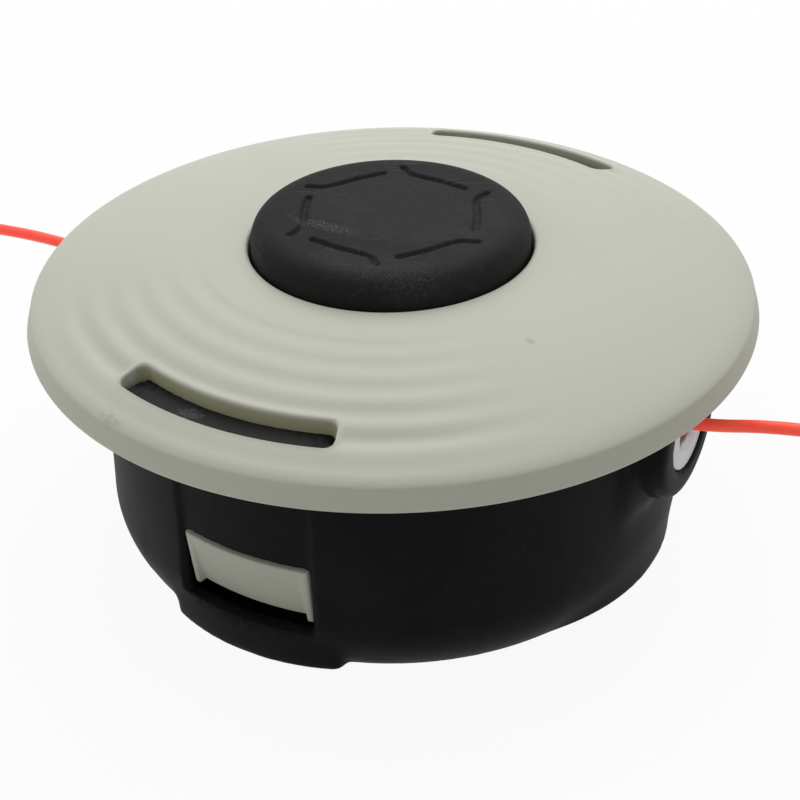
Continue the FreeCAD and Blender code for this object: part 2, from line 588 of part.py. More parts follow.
def winding(z_low):
    """One chamber's wound line as a single ring with a ridge for every turn of its outer layer."""
    height = CHAMBER_H - 2 * WIND_GAP
    turns = int(height / LINE_D)
    pitch = height / turns
    low = z_low + WIND_GAP
    valley, crest, inner = DIVIDER_R - WIND_VALLEY, DIVIDER_R - WIND_CREST, CORE_R + FIT
    profile = [(inner, low), (valley, low)]
    for i in range(turns):
        z = low + i * pitch
        profile += [(crest, z + pitch * 0.3), (crest, z + pitch * 0.7), (valley, z + pitch)]
    return turned(profile + [(inner, low + turns * pitch)])


def groove_tool():
    """Round tool of one hooked groove in the button's face."""
    r = GROOVE_MID_R
    radii = (r + GROOVE_SWING, r, r - GROOVE_BOW, r, r + GROOVE_TURN, r + GROOVE_END)
    points = []
    for radius, degrees in zip(radii, GROOVE_ANGLES):
        a = math.radians(degrees)
        points.append(Vector(radius * math.cos(a), radius * math.sin(a), BUTTON_TOP + GROOVE_LIFT))
    curve = Part.BSplineCurve()
    curve.interpolate(points)
    path = Part.Wire(curve.toShape())
    circle = Part.Wire(Part.makeCircle(GROOVE_R, points[0], curve.tangent(curve.FirstParameter)[0]))
    tube = path.makePipeShell([circle], True, False)
    return tube.fuse([Part.makeSphere(GROOVE_R, points[0]), Part.makeSphere(GROOVE_R, points[-1])])


def bump_button():
    """Domed cap that snaps over the spool's spigot, with hooked grooves in its face."""
    r_in = SPIGOT_R + FIT
    groove_in, groove_low, groove_high = r_in + BEAD, BEAD_Z - FIT, BEAD_Z + BEAD_W + FIT
    roof, ledge = BUTTON_TOP - BUTTON_SKIN, SPOOL_TOP + SPIGOT_H + LEDGE_GAP
    flat = (BUTTON_FLAT_R, BUTTON_TOP)
    edge = (BUTTON_R - BUTTON_EDGE_STEP, BUTTON_TOP - BUTTON_EDGE_DROP)
    side = (BUTTON_R, BUTTON_TOP - BUTTON_SIDE_DROP)
    dome = (CORE_R - DOME_STEP, roof)
    edges = [line((0, BUTTON_TOP), flat), arc(flat, edge, side), line(side, (BUTTON_R, SPOOL_TOP)),
             line((BUTTON_R, SPOOL_TOP), (r_in, SPOOL_TOP)), line((r_in, SPOOL_TOP), (r_in, groove_low)),
             line((r_in, groove_low), (groove_in, groove_low + BEAD)),
             line((groove_in, groove_low + BEAD), (groove_in, groove_high - BEAD)),
             line((groove_in, groove_high - BEAD), (r_in, groove_high)),
             line((r_in, groove_high), (r_in, ledge)),
             line((r_in, ledge), dome), line(dome, (0, roof)), line((0, roof), (0, BUTTON_TOP))]
    tool = groove_tool()
    step = 360.0 / GROOVE_COUNT
    return lathe(edges).cut([about_z(tool, (i - 0.5) * step) for i in range(GROOVE_COUNT)])


def facet(*corners):
    """Flat triangle."""
    return Part.Face(Part.makePolygon(list(corners) + [corners[0]]))


def coil_z(turn, low, high):
    """Height of the wire's centre after a number of turns; the end turns lie close."""
    close = WIRE_D * COIL_CLOSE
    free = min(max((turn - 1.0) / COIL_TURNS, 0.0), 1.0)
    dead = min(turn, 1.0) + max(turn - COIL_TURNS - 1.0, 0.0)
    return low + dead * close + free * (high - low - 2 * close)


def spring():
    """Compression spring with close end turns, its round wire cut into flat facets."""
    low = FLOOR_Z + WASHER_T + WIRE_D / 2
    high = WEB_Z - THRUST_GAP - WASHER_T - WIRE_D / 2
    loops = []
    for i in range((COIL_TURNS + 2) * COIL_STEPS + 1):
        a = 2 * math.pi * i / COIL_STEPS
        z = coil_z(i / COIL_STEPS, low, high)
        loop = []
        for k in range(WIRE_SIDES):
            b = 2 * math.pi * (k + 0.5) / WIRE_SIDES
            r = COIL_R + WIRE_D / 2 * math.cos(b)
            loop.append(Vector(r * math.cos(a), r * math.sin(a), z + WIRE_D / 2 * math.sin(b)))
        loops.append(loop)
    faces = []
    for here, there in zip(loops, loops[1:]):
        for k in range(WIRE_SIDES):
            n = (k + 1) % WIRE_SIDES
            faces += [facet(here[k], here[n], there[n]), facet(here[k], there[n], there[k])]
    for loop in (loops[0], loops[-1]):
        faces.append(Part.Face(Part.makePolygon(loop + loop[:1])))
    solid = Part.makeSolid(Part.makeShell(faces))
    if solid.Volume < 0:
        solid.reverse()
    return solid


def route(rises, sides):
    """Run points of the tail at azimuth 0, from the winding to the cut end."""
    xs = (LEAD_R - LEAD_BACK, LEAD_R + LEAD_REACH, BOSS_FACE - MOUTH_BACK,
          COVER_R + TAIL_NEAR, COVER_R + TAIL_FAR)
    ys = (LEAD_SIDE, LEAD_OFF, 0.0) + sides
    return [Vector(x, y, EYELET_Z + rise) for x, y, rise in zip(xs, ys, rises)]


def cord(name, points, azimuth):
    """Line tail: straight runs between the points joined by tangent arcs."""
    edges, start = [], points[0]
    for before, corner, after in zip(points, points[1:], points[2:]):
        a, b = before - corner, after - corner
        run = min(a.Length, b.Length) * 0.45
        a.normalize()
        b.normalize()
        half_turn = (math.pi - a.getAngle(b)) / 2
        radius = run / math.tan(half_turn)
        enter, leave = corner + a * run, corner + b * run
        bisector = a + b
        bisector.normalize()
        middle = corner + bisector * (radius / math.cos(half_turn) - radius)
        edges += [Part.LineSegment(start, enter).toShape(), Part.Arc(enter, middle, leave).toShape()]
        print(name, "arc radius", round(radius, 2))
        start = leave
    edges.append(Part.LineSegment(start, points[-1]).toShape())
    circle = Part.Wire(Part.makeCircle(LINE_D / 2, points[0], points[1] - points[0]))
    return about_z(Part.Wire(edges).makePipeShell([circle], True, False), azimuth)


def main():
    """Build every piece and write its STEP file."""
    washer_z = WEB_Z - THRUST_GAP
    pieces = {
        "housing": housing(),
        "drive_nut": drive_nut(),
        "cover": cover(),
        "spool": spool(),
        "winding_upper": winding(UPPER_Z),
        "winding_lower": winding(LOWER_Z),
        "bump_button": bump_button(),
        "bump_spring": spring(),
        "seat_washer": ring(SLEEVE_R + WASHER_GAP, CORE_IN - WASHER_GAP, FLOOR_Z, FLOOR_Z + WASHER_T),
        "thrust_washer": ring(SLEEVE_R + SLIDE, CORE_IN - SLIDE, washer_z - WASHER_T, washer_z),
        "line_right": cord("line_right", route(RIGHT_RISES, RIGHT_SIDES), EYELET_AZ["eyelet_right"]),
        "line_left": cord("line_left", route(LEFT_RISES, LEFT_SIDES), EYELET_AZ["eyelet_left"]),
    }
    for name, azimuth in EYELET_AZ.items():
        pieces[name] = eyelet(azimuth)
    for name, azimuth in LATCH_AZ.items():
        pieces[name] = latch(azimuth)
    os.makedirs("parts", exist_ok=True)
    for name, shape in pieces.items():
        print(name, "solids", len(shape.Solids), "valid", shape.isValid(), "volume", round(shape.Volume, 1))
        shape.Solids[0].exportStep("parts/" + name + ".step")


main()
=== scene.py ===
"""Looks of a two-line bump feed trimmer head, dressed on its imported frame.

Sizes are written in millimetres and reach the meshes through MM, because the frame is in metres.
Z is the turning axis, the eyelets lie on X and the latches on Y.
"""
import logging
import math
from dataclasses import dataclass
from enum import Enum
from typing import Any, Callable, Sequence, Union

import bmesh
import bpy
from mathutils import Matrix, Vector


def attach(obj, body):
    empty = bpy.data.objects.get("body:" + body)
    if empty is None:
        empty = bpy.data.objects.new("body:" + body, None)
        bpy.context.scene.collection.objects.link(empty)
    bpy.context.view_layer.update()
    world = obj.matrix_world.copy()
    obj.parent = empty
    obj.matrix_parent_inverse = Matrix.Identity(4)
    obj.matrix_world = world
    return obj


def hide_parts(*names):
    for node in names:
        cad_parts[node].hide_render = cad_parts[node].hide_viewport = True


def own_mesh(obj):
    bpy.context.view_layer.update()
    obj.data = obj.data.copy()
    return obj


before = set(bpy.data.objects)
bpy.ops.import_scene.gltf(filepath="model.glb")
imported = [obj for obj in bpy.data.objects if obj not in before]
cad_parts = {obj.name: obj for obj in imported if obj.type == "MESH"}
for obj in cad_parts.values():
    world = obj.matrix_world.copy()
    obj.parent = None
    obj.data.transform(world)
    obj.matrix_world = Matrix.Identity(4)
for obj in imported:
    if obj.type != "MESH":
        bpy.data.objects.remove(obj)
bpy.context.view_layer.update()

MM = 0.001
SMOOTH_ANGLE = 38.0
FRONT, BACK = -90.0, 90.0
log = logging.getLogger("trimmer_head")

Point = tuple[float, float]
Triple = tuple[float, float, float]
Colour = tuple[float, float, float, float]
Value = Union["Sock", float, Sequence[float], bpy.types.ID]


class Slot(Enum):
    """Material slots."""

    HOUSING = "housing_plastic"
    COVER = "cover_plastic"
    BUTTON = "button_plastic"
    SPOOL = "spool_plastic"
    LINE = "nylon_line"
    EYELET = "eyelet_metal"
    ZINC = "zinc_steel"
    SPRING = "spring_steel"


class Body(Enum):
    """Bodies of the frame that carry pieces."""

    HOUSING = "housing"
    SPOOL = "spool"
    LATCH_FRONT = "latch_front"
    LATCH_BACK = "latch_back"


class Axis(Enum):
    """Axes that metal pieces are turned about."""

    X = "x"
    Z = "z"


class MarkKind(Enum):
    """Marks of use on a moulded surface."""

    SMUDGE = "smudge"
    SCUFF = "scuff"
    DUST = "dust"
    NICK = "nick"


def linear(red: int, green: int, blue: int) -> Colour:
    """Turn a screen colour into the linear colour that a shader takes.

    Args:
        red: Red from 0 to 255.
        green: Green from 0 to 255.
        blue: Blue from 0 to 255.

    Returns:
        Linear red, green, blue and an alpha of 1.
    """
    parts = []
    for part in (red, green, blue):
        share = part / 255.0
        parts.append(share / 12.92 if share <= 0.04045 else ((share + 0.055) / 1.055) ** 2.4)
    return (parts[0], parts[1], parts[2], 1.0)


class Sock:
    """Output socket with arithmetic: an expression on it adds its Math nodes."""

    def __init__(self, graph: "Graph", socket: bpy.types.NodeSocket | None) -> None:
        """Wrap a socket of a graph, or none for a closing node."""
        self.graph = graph
        self.socket = socket

    def math(self, operation: str, *values: Value) -> "Sock":
        """Apply a Math node to the given values."""
        return self.graph.node("ShaderNodeMath", {"operation": operation}, dict(enumerate(values)))

    def __add__(self, other: Value) -> "Sock":
        """Sum."""
        return self.math("ADD", self, other)

    def __radd__(self, other: Value) -> "Sock":
        """Sum with a number on the left."""
        return self.math("ADD", other, self)

    def __sub__(self, other: Value) -> "Sock":
        """Difference."""
        return self.math("SUBTRACT", self, other)

    def __rsub__(self, other: Value) -> "Sock":
        """Difference with a number on the left."""
        return self.math("SUBTRACT", other, self)

    def __mul__(self, other: Value) -> "Sock":
        """Product."""
        return self.math("MULTIPLY", self, other)

    def __rmul__(self, other: Value) -> "Sock":
        """Product with a number on the left."""
        return self.math("MULTIPLY", other, self)

    def __truediv__(self, other: Value) -> "Sock":
        """Quotient."""
        return self.math("DIVIDE", self, other)

    def __rtruediv__(self, other: Value) -> "Sock":
        """Quotient with a number on the left."""
        return self.math("DIVIDE", other, self)

    def at_least(self, other: Value) -> "Sock":
        """Larger of the two."""
        return self.math("MAXIMUM", self, other)

    def at_most(self, other: Value) -> "Sock":
        """Smaller of the two."""
        return self.math("MINIMUM", self, other)

    def sin(self) -> "Sock":
        """Sine of an angle in radians."""
        return self.math("SINE", self)

    def cos(self) -> "Sock":
        """Cosine of an angle in radians."""
        return self.math("COSINE", self)

    def rise(self, low: Value, high: Value) -> "Sock":
        """Smooth step from 0 at low to 1 at high."""
        return self.graph.node("ShaderNodeMapRange", {"interpolation_type": "SMOOTHSTEP"},
                               {"Value": self, "From Min": low, "From Max": high})


class Graph:
    """Node tree that is written as expressions."""

    def __init__(self, tree: bpy.types.NodeTree) -> None:
        """Take an empty node tree."""
        self.tree = tree

    def node(self, kind: str, settings: dict[str, Any] | None = None,
             inputs: dict[str | int, Value] | None = None, output: str | int = 0) -> Sock:
        """Add a node.

        Args:
            kind: Type of the node.
            settings: Properties that are set before the sockets.
            inputs: Values or links of the sockets, by name or number.
            output: Name or number of the output that is wanted.

        Returns:
            The wanted output.
        """
        made = self.tree.nodes.new(kind)
        for key, value in (settings or {}).items():
            setattr(made, key, value)
        for key, value in (inputs or {}).items():
            if isinstance(value, Sock):
                self.tree.links.new(value.socket, made.inputs[key])
            else:
                made.inputs[key].default_value = value
        return Sock(self, made.outputs[output] if made.outputs else None)

    def parts(self, vector: Sock) -> tuple[Sock, Sock, Sock]:
        """Split a vector into its three parts.

        Args:
            vector: The vector.

        Returns:
            Its X, Y and Z.
        """
        first = self.node("ShaderNodeSeparateXYZ", {}, {0: vector})
        outputs = first.socket.node.outputs
        return first, Sock(self, outputs[1]), Sock(self, outputs[2])

    def vector(self, x: Value, y: Value, z: Value) -> Sock:
        """Join three values into a vector."""
        return self.node("ShaderNodeCombineXYZ", {}, {0: x, 1: y, 2: z})

    def aim(self, operation: str, *values: Value) -> Sock:
        """Apply a Vector Math node whose result is a vector."""
        return self.node("ShaderNodeVectorMath", {"operation": operation}, dict(enumerate(values)))

    def span(self, operation: str, *values: Value) -> Sock:
        """Apply a Vector Math node whose result is a number."""
        return self.node("ShaderNodeVectorMath", {"operation": operation}, dict(enumerate(values)), "Value")


class Shade(Graph):
    """Material that is written as expressions on Object coordinates."""

    def __init__(self, name: str) -> None:
        """Start an empty material.

        Args:
            name: Name of the material.
        """
        self.material = bpy.data.materials.new(name)
        self.material.use_nodes = True
        self.material.node_tree.nodes.clear()
        super().__init__(self.material.node_tree)
        self.place = self.node("ShaderNodeTexCoord", {}, {}, "Object")

    def noise(self, scale: float, detail: float = 2.0, place: Sock | None = None) -> Sock:
        """Noise around 0.5, with scale in features per metre."""
        return self.node("ShaderNodeTexNoise", {},
                         {"Vector": place or self.place, "Scale": scale, "Detail": detail}, "Fac")

    def streaks(self, turn: Triple, stretch: Triple) -> Sock:
        """Noise drawn out into fine lines.

        Args:
            turn: Direction of the lines as a rotation in degrees.
            stretch: Features per metre along the turned axes.

        Returns:
            The noise value.
        """
        angles = tuple(math.radians(a) for a in turn)
        sizes = tuple(1.0 / s for s in stretch)
        turned = self.node("ShaderNodeMapping", {"vector_type": "TEXTURE"},
                           {"Vector": self.place, "Rotation": angles, "Scale": sizes})
        return self.noise(1.0, 2.0, turned)

    def mix(self, low: Value, high: Value, share: Value) -> Sock:
        """Mix two colours."""
        return self.node("ShaderNodeMix", {"data_type": "RGBA"}, {0: share, 6: low, 7: high}, 2)

    def bump(self, height: Sock, depth: float) -> Sock:
        """Normal of a height field of the given depth in metres."""
        return self.node("ShaderNodeBump", {}, {"Height": height, "Distance": depth, "Strength": 1.0})

    def principled(self, inputs: dict[str | int, Value]) -> bpy.types.Material:
        """Close the material with a Principled shader."""
        return self.close(self.node("ShaderNodeBsdfPrincipled", {}, inputs))

    def close(self, shader: Sock) -> bpy.types.Material:
        """Close the material with a shader."""
        self.node("ShaderNodeOutputMaterial", {}, {"Surface": shader})
        return self.material


@dataclass(frozen=True)
class Mark:
    """One mark of use at a place on a surface."""

    kind: MarkKind
    place: Triple
    reach: Triple
    strength: float
    flecks: float = 1500.0


@dataclass(frozen=True)
class PaintedSlotShade:
    """Painted shade on the inner walls of slots in a sloping deck, between two radii: the walls darken with
    depth as if in the slots' shade.
    """

    colour: Colour
    edge: float
    edge_z: float
    slope: float
    start: float
    full: float
    end: float
    strength: float
    fade: float = 1.0
    inner: Point = (53.0, 55.0)
    outer: Point = (57.0, 59.5)

    def mask(self, shade: Shade) -> Sock:
        """Mask of the painted shade, that grows with the depth below the deck, down to where the walls end.

        Args:
            shade: Material in the making.

        Returns:
            Mask from 0 to the painted shade's strength.
        """
        x, y, z = shade.parts(shade.place)
        radius = shade.span("LENGTH", shade.vector(x, y, 0.0))
        depth = self.edge_z * MM + (self.edge * MM - radius) * self.slope - z
        inside = radius.rise(self.inner[0] * MM, self.inner[1] * MM)
        inside = inside * (1.0 - radius.rise(self.outer[0] * MM, self.outer[1] * MM))
        walls = 1.0 - depth.rise(self.end * MM, (self.end + self.fade) * MM)
        return depth.rise(self.start * MM, self.full * MM) * walls * inside * self.strength


@dataclass(frozen=True)
class MouldedPlastic:
    """Moulded plastic with mottling, fine grain, scratches and marks, and optional painted shade on slot
    walls.
    """

    name: str
    colour: Colour
    pale: Colour
    dark: Colour
    roughness: float
    gloss: float
    mottle: float
    grain_scale: float
    grain_depth: float
    scratch: float
    marks: tuple[Mark, ...] = ()
    painted_slot_shade: PaintedSlotShade | None = None
    cloud_scale: float = 38.0
    speck_scale: float = 520.0
    patch_scale: float = 70.0
    ragged_scale: float = 900.0
    nick_depth: float = 6.0

    def mark_mask(self, shade: Shade, mark: Mark) -> Sock:
        """Mask of one mark, ragged at its edge.

        Args:
            shade: Material in the making.
            mark: The mark.

        Returns:
            Mask from 0 to 1.
        """
        centre = tuple(c * MM for c in mark.place)
        scale = tuple(1.0 / (r * MM) for r in mark.reach)
        away = shade.aim("MULTIPLY", shade.aim("SUBTRACT", shade.place, centre), scale)
        edge = shade.span("LENGTH", away) + (shade.noise(self.ragged_scale, 4.0) - 0.5) * 1.1
        return (1.0 - edge.rise(0.55, 1.0)) * mark.strength

    def material(self) -> bpy.types.Material:
        """Build the material.

        Returns:
            The material.
        """
        shade = Shade(self.name)
        cloud = shade.noise(self.cloud_scale, 4.0) - 0.5
        speck = shade.noise(self.speck_scale, 3.0) - 0.5
        grain = shade.noise(self.grain_scale)
        long_lines = shade.streaks((0.0, 0.0, -62.0), (2900.0, 70.0, 160.0)).rise(0.62, 0.74)
        cross_lines = shade.streaks((0.0, 0.0, -20.0), (2300.0, 60.0, 160.0)).rise(0.69, 0.78)
        patches = shade.noise(self.patch_scale).rise(0.45, 0.68)
        lines = long_lines.at_least(cross_lines) * patches * self.scratch
        tone = (cloud * 1.6 + speck * 0.7) * self.mottle
        colour = shade.mix(self.colour, self.pale, tone.at_least(0.0))
        colour = shade.mix(colour, self.dark, (0.0 - tone).at_least(0.0))
        colour = shade.mix(colour, self.pale, lines)
        height = grain + lines * -0.6
        rough = self.roughness + cloud * 0.08 + speck * 0.05 + lines * 0.12
        # Painted shade: slot walls take a darker olive as they sink into the slots' shade.
        if self.painted_slot_shade is not None:
            colour = shade.mix(colour, self.painted_slot_shade.colour, self.painted_slot_shade.mask(shade))
        for mark in self.marks:
            mask = self.mark_mask(shade, mark)
            if mark.kind is MarkKind.SMUDGE:
                colour = shade.mix(colour, self.dark, mask)
            elif mark.kind is MarkKind.DUST:
                colour = shade.mix(colour, self.pale, mask)
            elif mark.kind is MarkKind.SCUFF:
                fleck = shade.noise(mark.flecks, 5.0).rise(0.47, 0.63)
                colour = shade.mix(colour, self.pale, mask * fleck)
                height = height + mask * fleck * 0.8
            else:
                colour = shade.mix(colour, self.dark, mask * 0.6)
                height = height - mask * self.nick_depth
        return shade.principled({"Base Color": colour, "Roughness": rough, "Specular IOR Level": self.gloss,
                                 "Normal": shade.bump(height, self.grain_depth)})


@dataclass(frozen=True)
class TurnedMetal:
    """Metal with fine turning lines about one axis."""

    name: str
    colour: Colour
    stain: Colour
    roughness: float
    axis: Axis
    centre_z: float = 0.0
    line_pitch: float = 0.35
    line_depth: float = 0.00001
    wobble_scale: float = 300.0
    cloud_scale: float = 160.0

    def material(self) -> bpy.types.Material:
        """Build the material.

        Returns:
            The material.
        """
        shade = Shade(self.name)
        x, y, z = shade.parts(shade.place)
        across = (y, z - self.centre_z * MM) if self.axis is Axis.X else (x, y)
        squares = across[0] * across[0] + across[1] * across[1]
        radius = squares.math("SQRT", squares)
        wobble = shade.noise(self.wobble_scale) * 3.0
        rings = (radius * (2.0 * math.pi / (self.line_pitch * MM)) + wobble).sin()
        cloud = shade.noise(self.cloud_scale, 4.0)
        scratch = shade.streaks((20.0, 0.0, 40.0), (3000.0, 120.0, 400.0)).rise(0.64, 0.76)
        colour = shade.mix(self.colour, self.stain, cloud.rise(0.5, 0.85) * 0.5)
        rough = self.roughness + rings * 0.05 + (cloud - 0.5) * 0.15 + scratch * 0.1
        height = rings * 0.5 - scratch
        return shade.principled({"Base Color": colour, "Roughness": rough, "Metallic": 1.0,
                                 "Normal": shade.bump(height, self.line_depth)})


@dataclass(frozen=True)
class DrawnWire:
    """Spring wire with fine drawing lines and dark oil film."""

    name: str
    colour: Colour
    oil: Colour
    roughness: float
    line_depth: float = 0.00002
    film_scale: float = 120.0
    line_scale: float = 2400.0

    def material(self) -> bpy.types.Material:
        """Build the material.

        Returns:
            The material.
        """
        shade = Shade(self.name)
        film = shade.noise(self.film_scale, 4.0).rise(0.42, 0.7)
        lines = shade.noise(self.line_scale, 3.0)
        colour = shade.mix(self.colour, self.oil, film)
        rough = self.roughness + (lines - 0.5) * 0.2 - film * 0.06
        return shade.principled({"Base Color": colour, "Roughness": rough, "Metallic": 1.0,
                                 "Normal": shade.bump(lines, self.line_depth)})


@dataclass(frozen=True)
class NylonLine:
    """Extruded cutting line: orange with pale bloom and fine draw marks, with a painted glow from emission
    that makes it brighter than its lighting.
    """

    name: str
    colour: Colour
    bloom: Colour
    roughness: float
    glow: float
    cloud_scale: float = 140.0
    draw_depth: float = 0.00002
    soft_weight: float = 0.12
    soft_reach: float = 0.001

    def material(self) -> bpy.types.Material:
        """Build the material.

        Returns:
            The material.
        """
        shade = Shade(self.name)
        cloud = shade.noise(self.cloud_scale, 3.0)
        draw = shade.streaks((0.0, 0.0, 0.0), (70.0, 2600.0, 2600.0))
        haze = cloud.rise(0.45, 0.85) * 0.35 + draw.rise(0.6, 0.75) * 0.15
        colour = shade.mix(self.colour, self.bloom, haze)
        rough = self.roughness + (cloud - 0.5) * 0.16 + (draw - 0.5) * 0.1
        # Painted light: the emission makes the line glow by itself, brighter than the lamps light it.
        return shade.principled({"Base Color": colour, "Roughness": rough, "Specular IOR Level": 0.4,
                                 "Emission Color": colour, "Emission Strength": self.glow,
                                 "Subsurface Weight": self.soft_weight, "Subsurface Radius": (1.0, 0.3, 0.2),
                                 "Subsurface Scale": self.soft_reach,
                                 "Normal": shade.bump(draw, self.draw_depth)})


FINISHES = {
    Slot.COVER: MouldedPlastic(
        "grey_moulded_plastic", linear(194, 195, 181), linear(208, 209, 198), linear(146, 147, 130),
        roughness=0.52, gloss=0.32, mottle=0.14, grain_scale=4200.0, grain_depth=0.000018, scratch=0.10,
        marks=(Mark(MarkKind.NICK, (38.8, -19.9, 58.2), (1.2, 0.8, 1.5), 0.6),
               Mark(MarkKind.SMUDGE, (-18.6, -67.3, 52.3), (4.5, 2.6, 1.2), 0.4)),
        # Painted shade: olive darkening down the cover's inner slot walls.
        painted_slot_shade=PaintedSlotShade(linear(150, 145, 80), edge=62.0, edge_z=54.9, slope=0.154, start=0.4, full=1.2,
                    end=6.0, strength=0.5)),
    Slot.HOUSING: MouldedPlastic(
        "black_moulded_plastic", linear(19, 19, 20), linear(78, 78, 78), linear(8, 8, 9),
        roughness=0.5, gloss=0.05, mottle=0.16, grain_scale=3600.0, grain_depth=0.000022, scratch=0.10,
        marks=(Mark(MarkKind.DUST, (0.0, -58.8, 52.6), (30.0, 7.0, 3.0), 0.26),
               Mark(MarkKind.DUST, (0.0, 58.8, 52.6), (30.0, 7.0, 3.0), 0.26),
               Mark(MarkKind.DUST, (-5.9, -58.9, 52.6), (2.9, 1.6, 2.0), 0.4),
               Mark(MarkKind.SCUFF, (-5.9, -58.9, 52.6), (3.4, 1.9, 2.0), 1.0))),
    Slot.BUTTON: MouldedPlastic(
        "matte_black_plastic", linear(31, 31, 31), linear(108, 108, 106), linear(16, 16, 17),
        roughness=0.7, gloss=0.1, mottle=0.2, grain_scale=2600.0, grain_depth=0.00005, scratch=0.42,
        marks=(Mark(MarkKind.SCUFF, (9.0, -19.0, 64.3), (18.0, 6.5, 6.0), 0.2, 3200.0),
               Mark(MarkKind.SCUFF, (-8.5, -10.0, 65.3), (8.5, 1.9, 3.0), 0.6, 2600.0),
               Mark(MarkKind.SCUFF, (-17.0, -18.0, 60.0), (7.0, 7.0, 5.0), 0.24, 3000.0),
               Mark(MarkKind.SCUFF, (0.0, 4.0, 65.0), (24.0, 18.0, 6.0), 0.14, 3400.0))),
    Slot.SPOOL: MouldedPlastic(
        "spool_moulded_plastic", linear(40, 40, 42), linear(96, 96, 96), linear(20, 20, 21),
        roughness=0.5, gloss=0.3, mottle=0.15, grain_scale=3000.0, grain_depth=0.00002, scratch=0.15),
    # The line's glow is painted light.
    Slot.LINE: NylonLine("orange_nylon_line", linear(255, 80, 60), linear(255, 122, 100),
                         roughness=0.36, glow=0.3),
    Slot.EYELET: TurnedMetal("turned_eyelet_metal", linear(174, 173, 172), linear(136, 134, 132),
                             roughness=0.34, axis=Axis.X, centre_z=35.0),
    Slot.ZINC: TurnedMetal("zinc_plated_steel", linear(192, 194, 196), linear(150, 146, 134),
                           roughness=0.36, axis=Axis.Z),
    Slot.SPRING: DrawnWire("oiled_spring_wire", linear(150, 150, 150), linear(70, 66, 60), roughness=0.34),
}


class Wardrobe:
    """Finished materials by slot, each made once."""

    def __init__(self) -> None:
        """Build every material."""
        self.materials = {slot: finish.material() for slot, finish in FINISHES.items()}

    def dress(self, obj: bpy.types.Object, slot: Slot) -> None:
        """Give an object the material of a slot."""
        obj.data.materials.clear()
        obj.data.materials.append(self.materials[slot])

    def dress_node(self, node: str, slot: Slot) -> None:
        """Give a node of the frame the material of a slot."""
        self.dress(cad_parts[node], slot)
        log.info("node %s wears %s", node, slot.value)


def settle(obj: bpy.types.Object, body: Body, slot: Slot, *nodes: str) -> bpy.types.Object:
    """Put a finished piece on its body in place of its nodes.

    Args:
        obj: The piece.
        body: Body that carries it.
        slot: Not used.
        nodes: Nodes that the piece stands for.

    Returns:
        The piece.
    """
    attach(obj, body.value)
    if nodes:
        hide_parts(*nodes)
    log.info("piece %s rides on %s", obj.name, body.value)
    return obj


def new_object(name: str, data: bpy.types.ID) -> bpy.types.Object:
    """Link a new object into the scene.

    Args:
        name: Name of the object.
        data: Its mesh, curve, lamp or camera.

    Returns:
        The object.
    """
    obj = bpy.data.objects.new(name, data)
    bpy.context.scene.collection.objects.link(obj)
    return obj


def mesh_object(name: str, bm: bmesh.types.BMesh, angle: float = SMOOTH_ANGLE) -> bpy.types.Object:
    """Turn a bmesh into an object with smooth faces and sharp corners.

    Args:
        name: Name of the object.
        bm: The bmesh, which is freed.
        angle: Angle in degrees from which an edge is sharp.

    Returns:
        The object.
    """
    mesh = bpy.data.meshes.new(name)
    bm.to_mesh(mesh)
    bm.free()
    soften(mesh, angle)
    return new_object(name, mesh)


def soften(mesh: bpy.types.Mesh, angle: float = SMOOTH_ANGLE) -> None:
    """Shade a mesh smooth up to an angle in degrees."""
    mesh.shade_smooth()
    mesh.set_sharp_from_angle(angle=math.radians(angle))


def welded_copy(node: str, name: str, angle: float = SMOOTH_ANGLE) -> bpy.types.Object:
    """Copy a node's mesh with its triangles joined, so that round faces shade smoothly.

    Args:
        node: Node of the frame.
        name: Name of the copy.
        angle: Angle in degrees from which an edge is sharp.

    Returns:
        The copy.
    """
    bm = bmesh.new()
    bm.from_mesh(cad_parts[node].data)
    bmesh.ops.remove_doubles(bm, verts=bm.verts, dist=2e-6)
    bmesh.ops.dissolve_degenerate(bm, edges=bm.edges, dist=1e-6)
    obj = mesh_object(name, bm, angle)
    old_normals = obj.data.attributes.get("custom_normal")
    if old_normals is not None:
        obj.data.attributes.remove(old_normals)
    return obj


class Profile:
    """Half section of a turned piece, as points of radius and height in millimetres."""

    def __init__(self, r: float, z: float) -> None:
        """Start at a point."""
        self.points: list[Point] = [(r, z)]

    def line(self, r: float, z: float, step: float = 1e9) -> "Profile":
        """Go straight to a point, in steps of at most the given length.

        Args:
            r: Radius of the end.
            z: Height of the end.
            step: Longest step.

        Returns:
            The profile itself.
        """
        r0, z0 = self.points[-1]
        count = max(1, math.ceil(math.hypot(r - r0, z - z0) / step))
        for i in range(1, count + 1):
            self.points.append((r0 + (r - r0) * i / count, z0 + (z - z0) * i / count))
        return self

    def curve(self, control: Point, r: float, z: float, count: int) -> "Profile":
        """Go to a point round a corner.

        Args:
            control: Corner that the curve rounds off.
            r: Radius of the end.
            z: Height of the end.
            count: Number of steps.

        Returns:
            The profile itself.
        """
        r0, z0 = self.points[-1]
        for i in range(1, count + 1):
            t = i / count
            a, b, c = (1 - t) ** 2, 2 * t * (1 - t), t * t
            self.points.append((a * r0 + b * control[0] + c * r, a * z0 + b * control[1] + c * z))
        return self


def revolve(points: Sequence[Point], columns: int, closed: bool = True) -> tuple[bmesh.types.BMesh, list]:
    """Turn a profile about Z.

    Args:
        points: Radius and height of each ring in millimetres.
        columns: Number of columns in a full turn.
        closed: Whether the last ring joins the first.

    Returns:
        The bmesh, and its rings of vertices.
    """
    bm = bmesh.new()
    rings = []
    for r, z in points:
        ring = []
        for k in range(columns):
            a = 2.0 * math.pi * k / columns
            ring.append(bm.verts.new((r * math.cos(a) * MM, r * math.sin(a) * MM, z * MM)))
        rings.append(ring)
    last = len(rings) if closed else len(rings) - 1
    for i in range(last):
        low, high = rings[i], rings[(i + 1) % len(rings)]
        for k in range(columns):
            n = (k + 1) % columns
            bm.faces.new((low[k], low[n], high[n], high[k]))
    return bm, rings


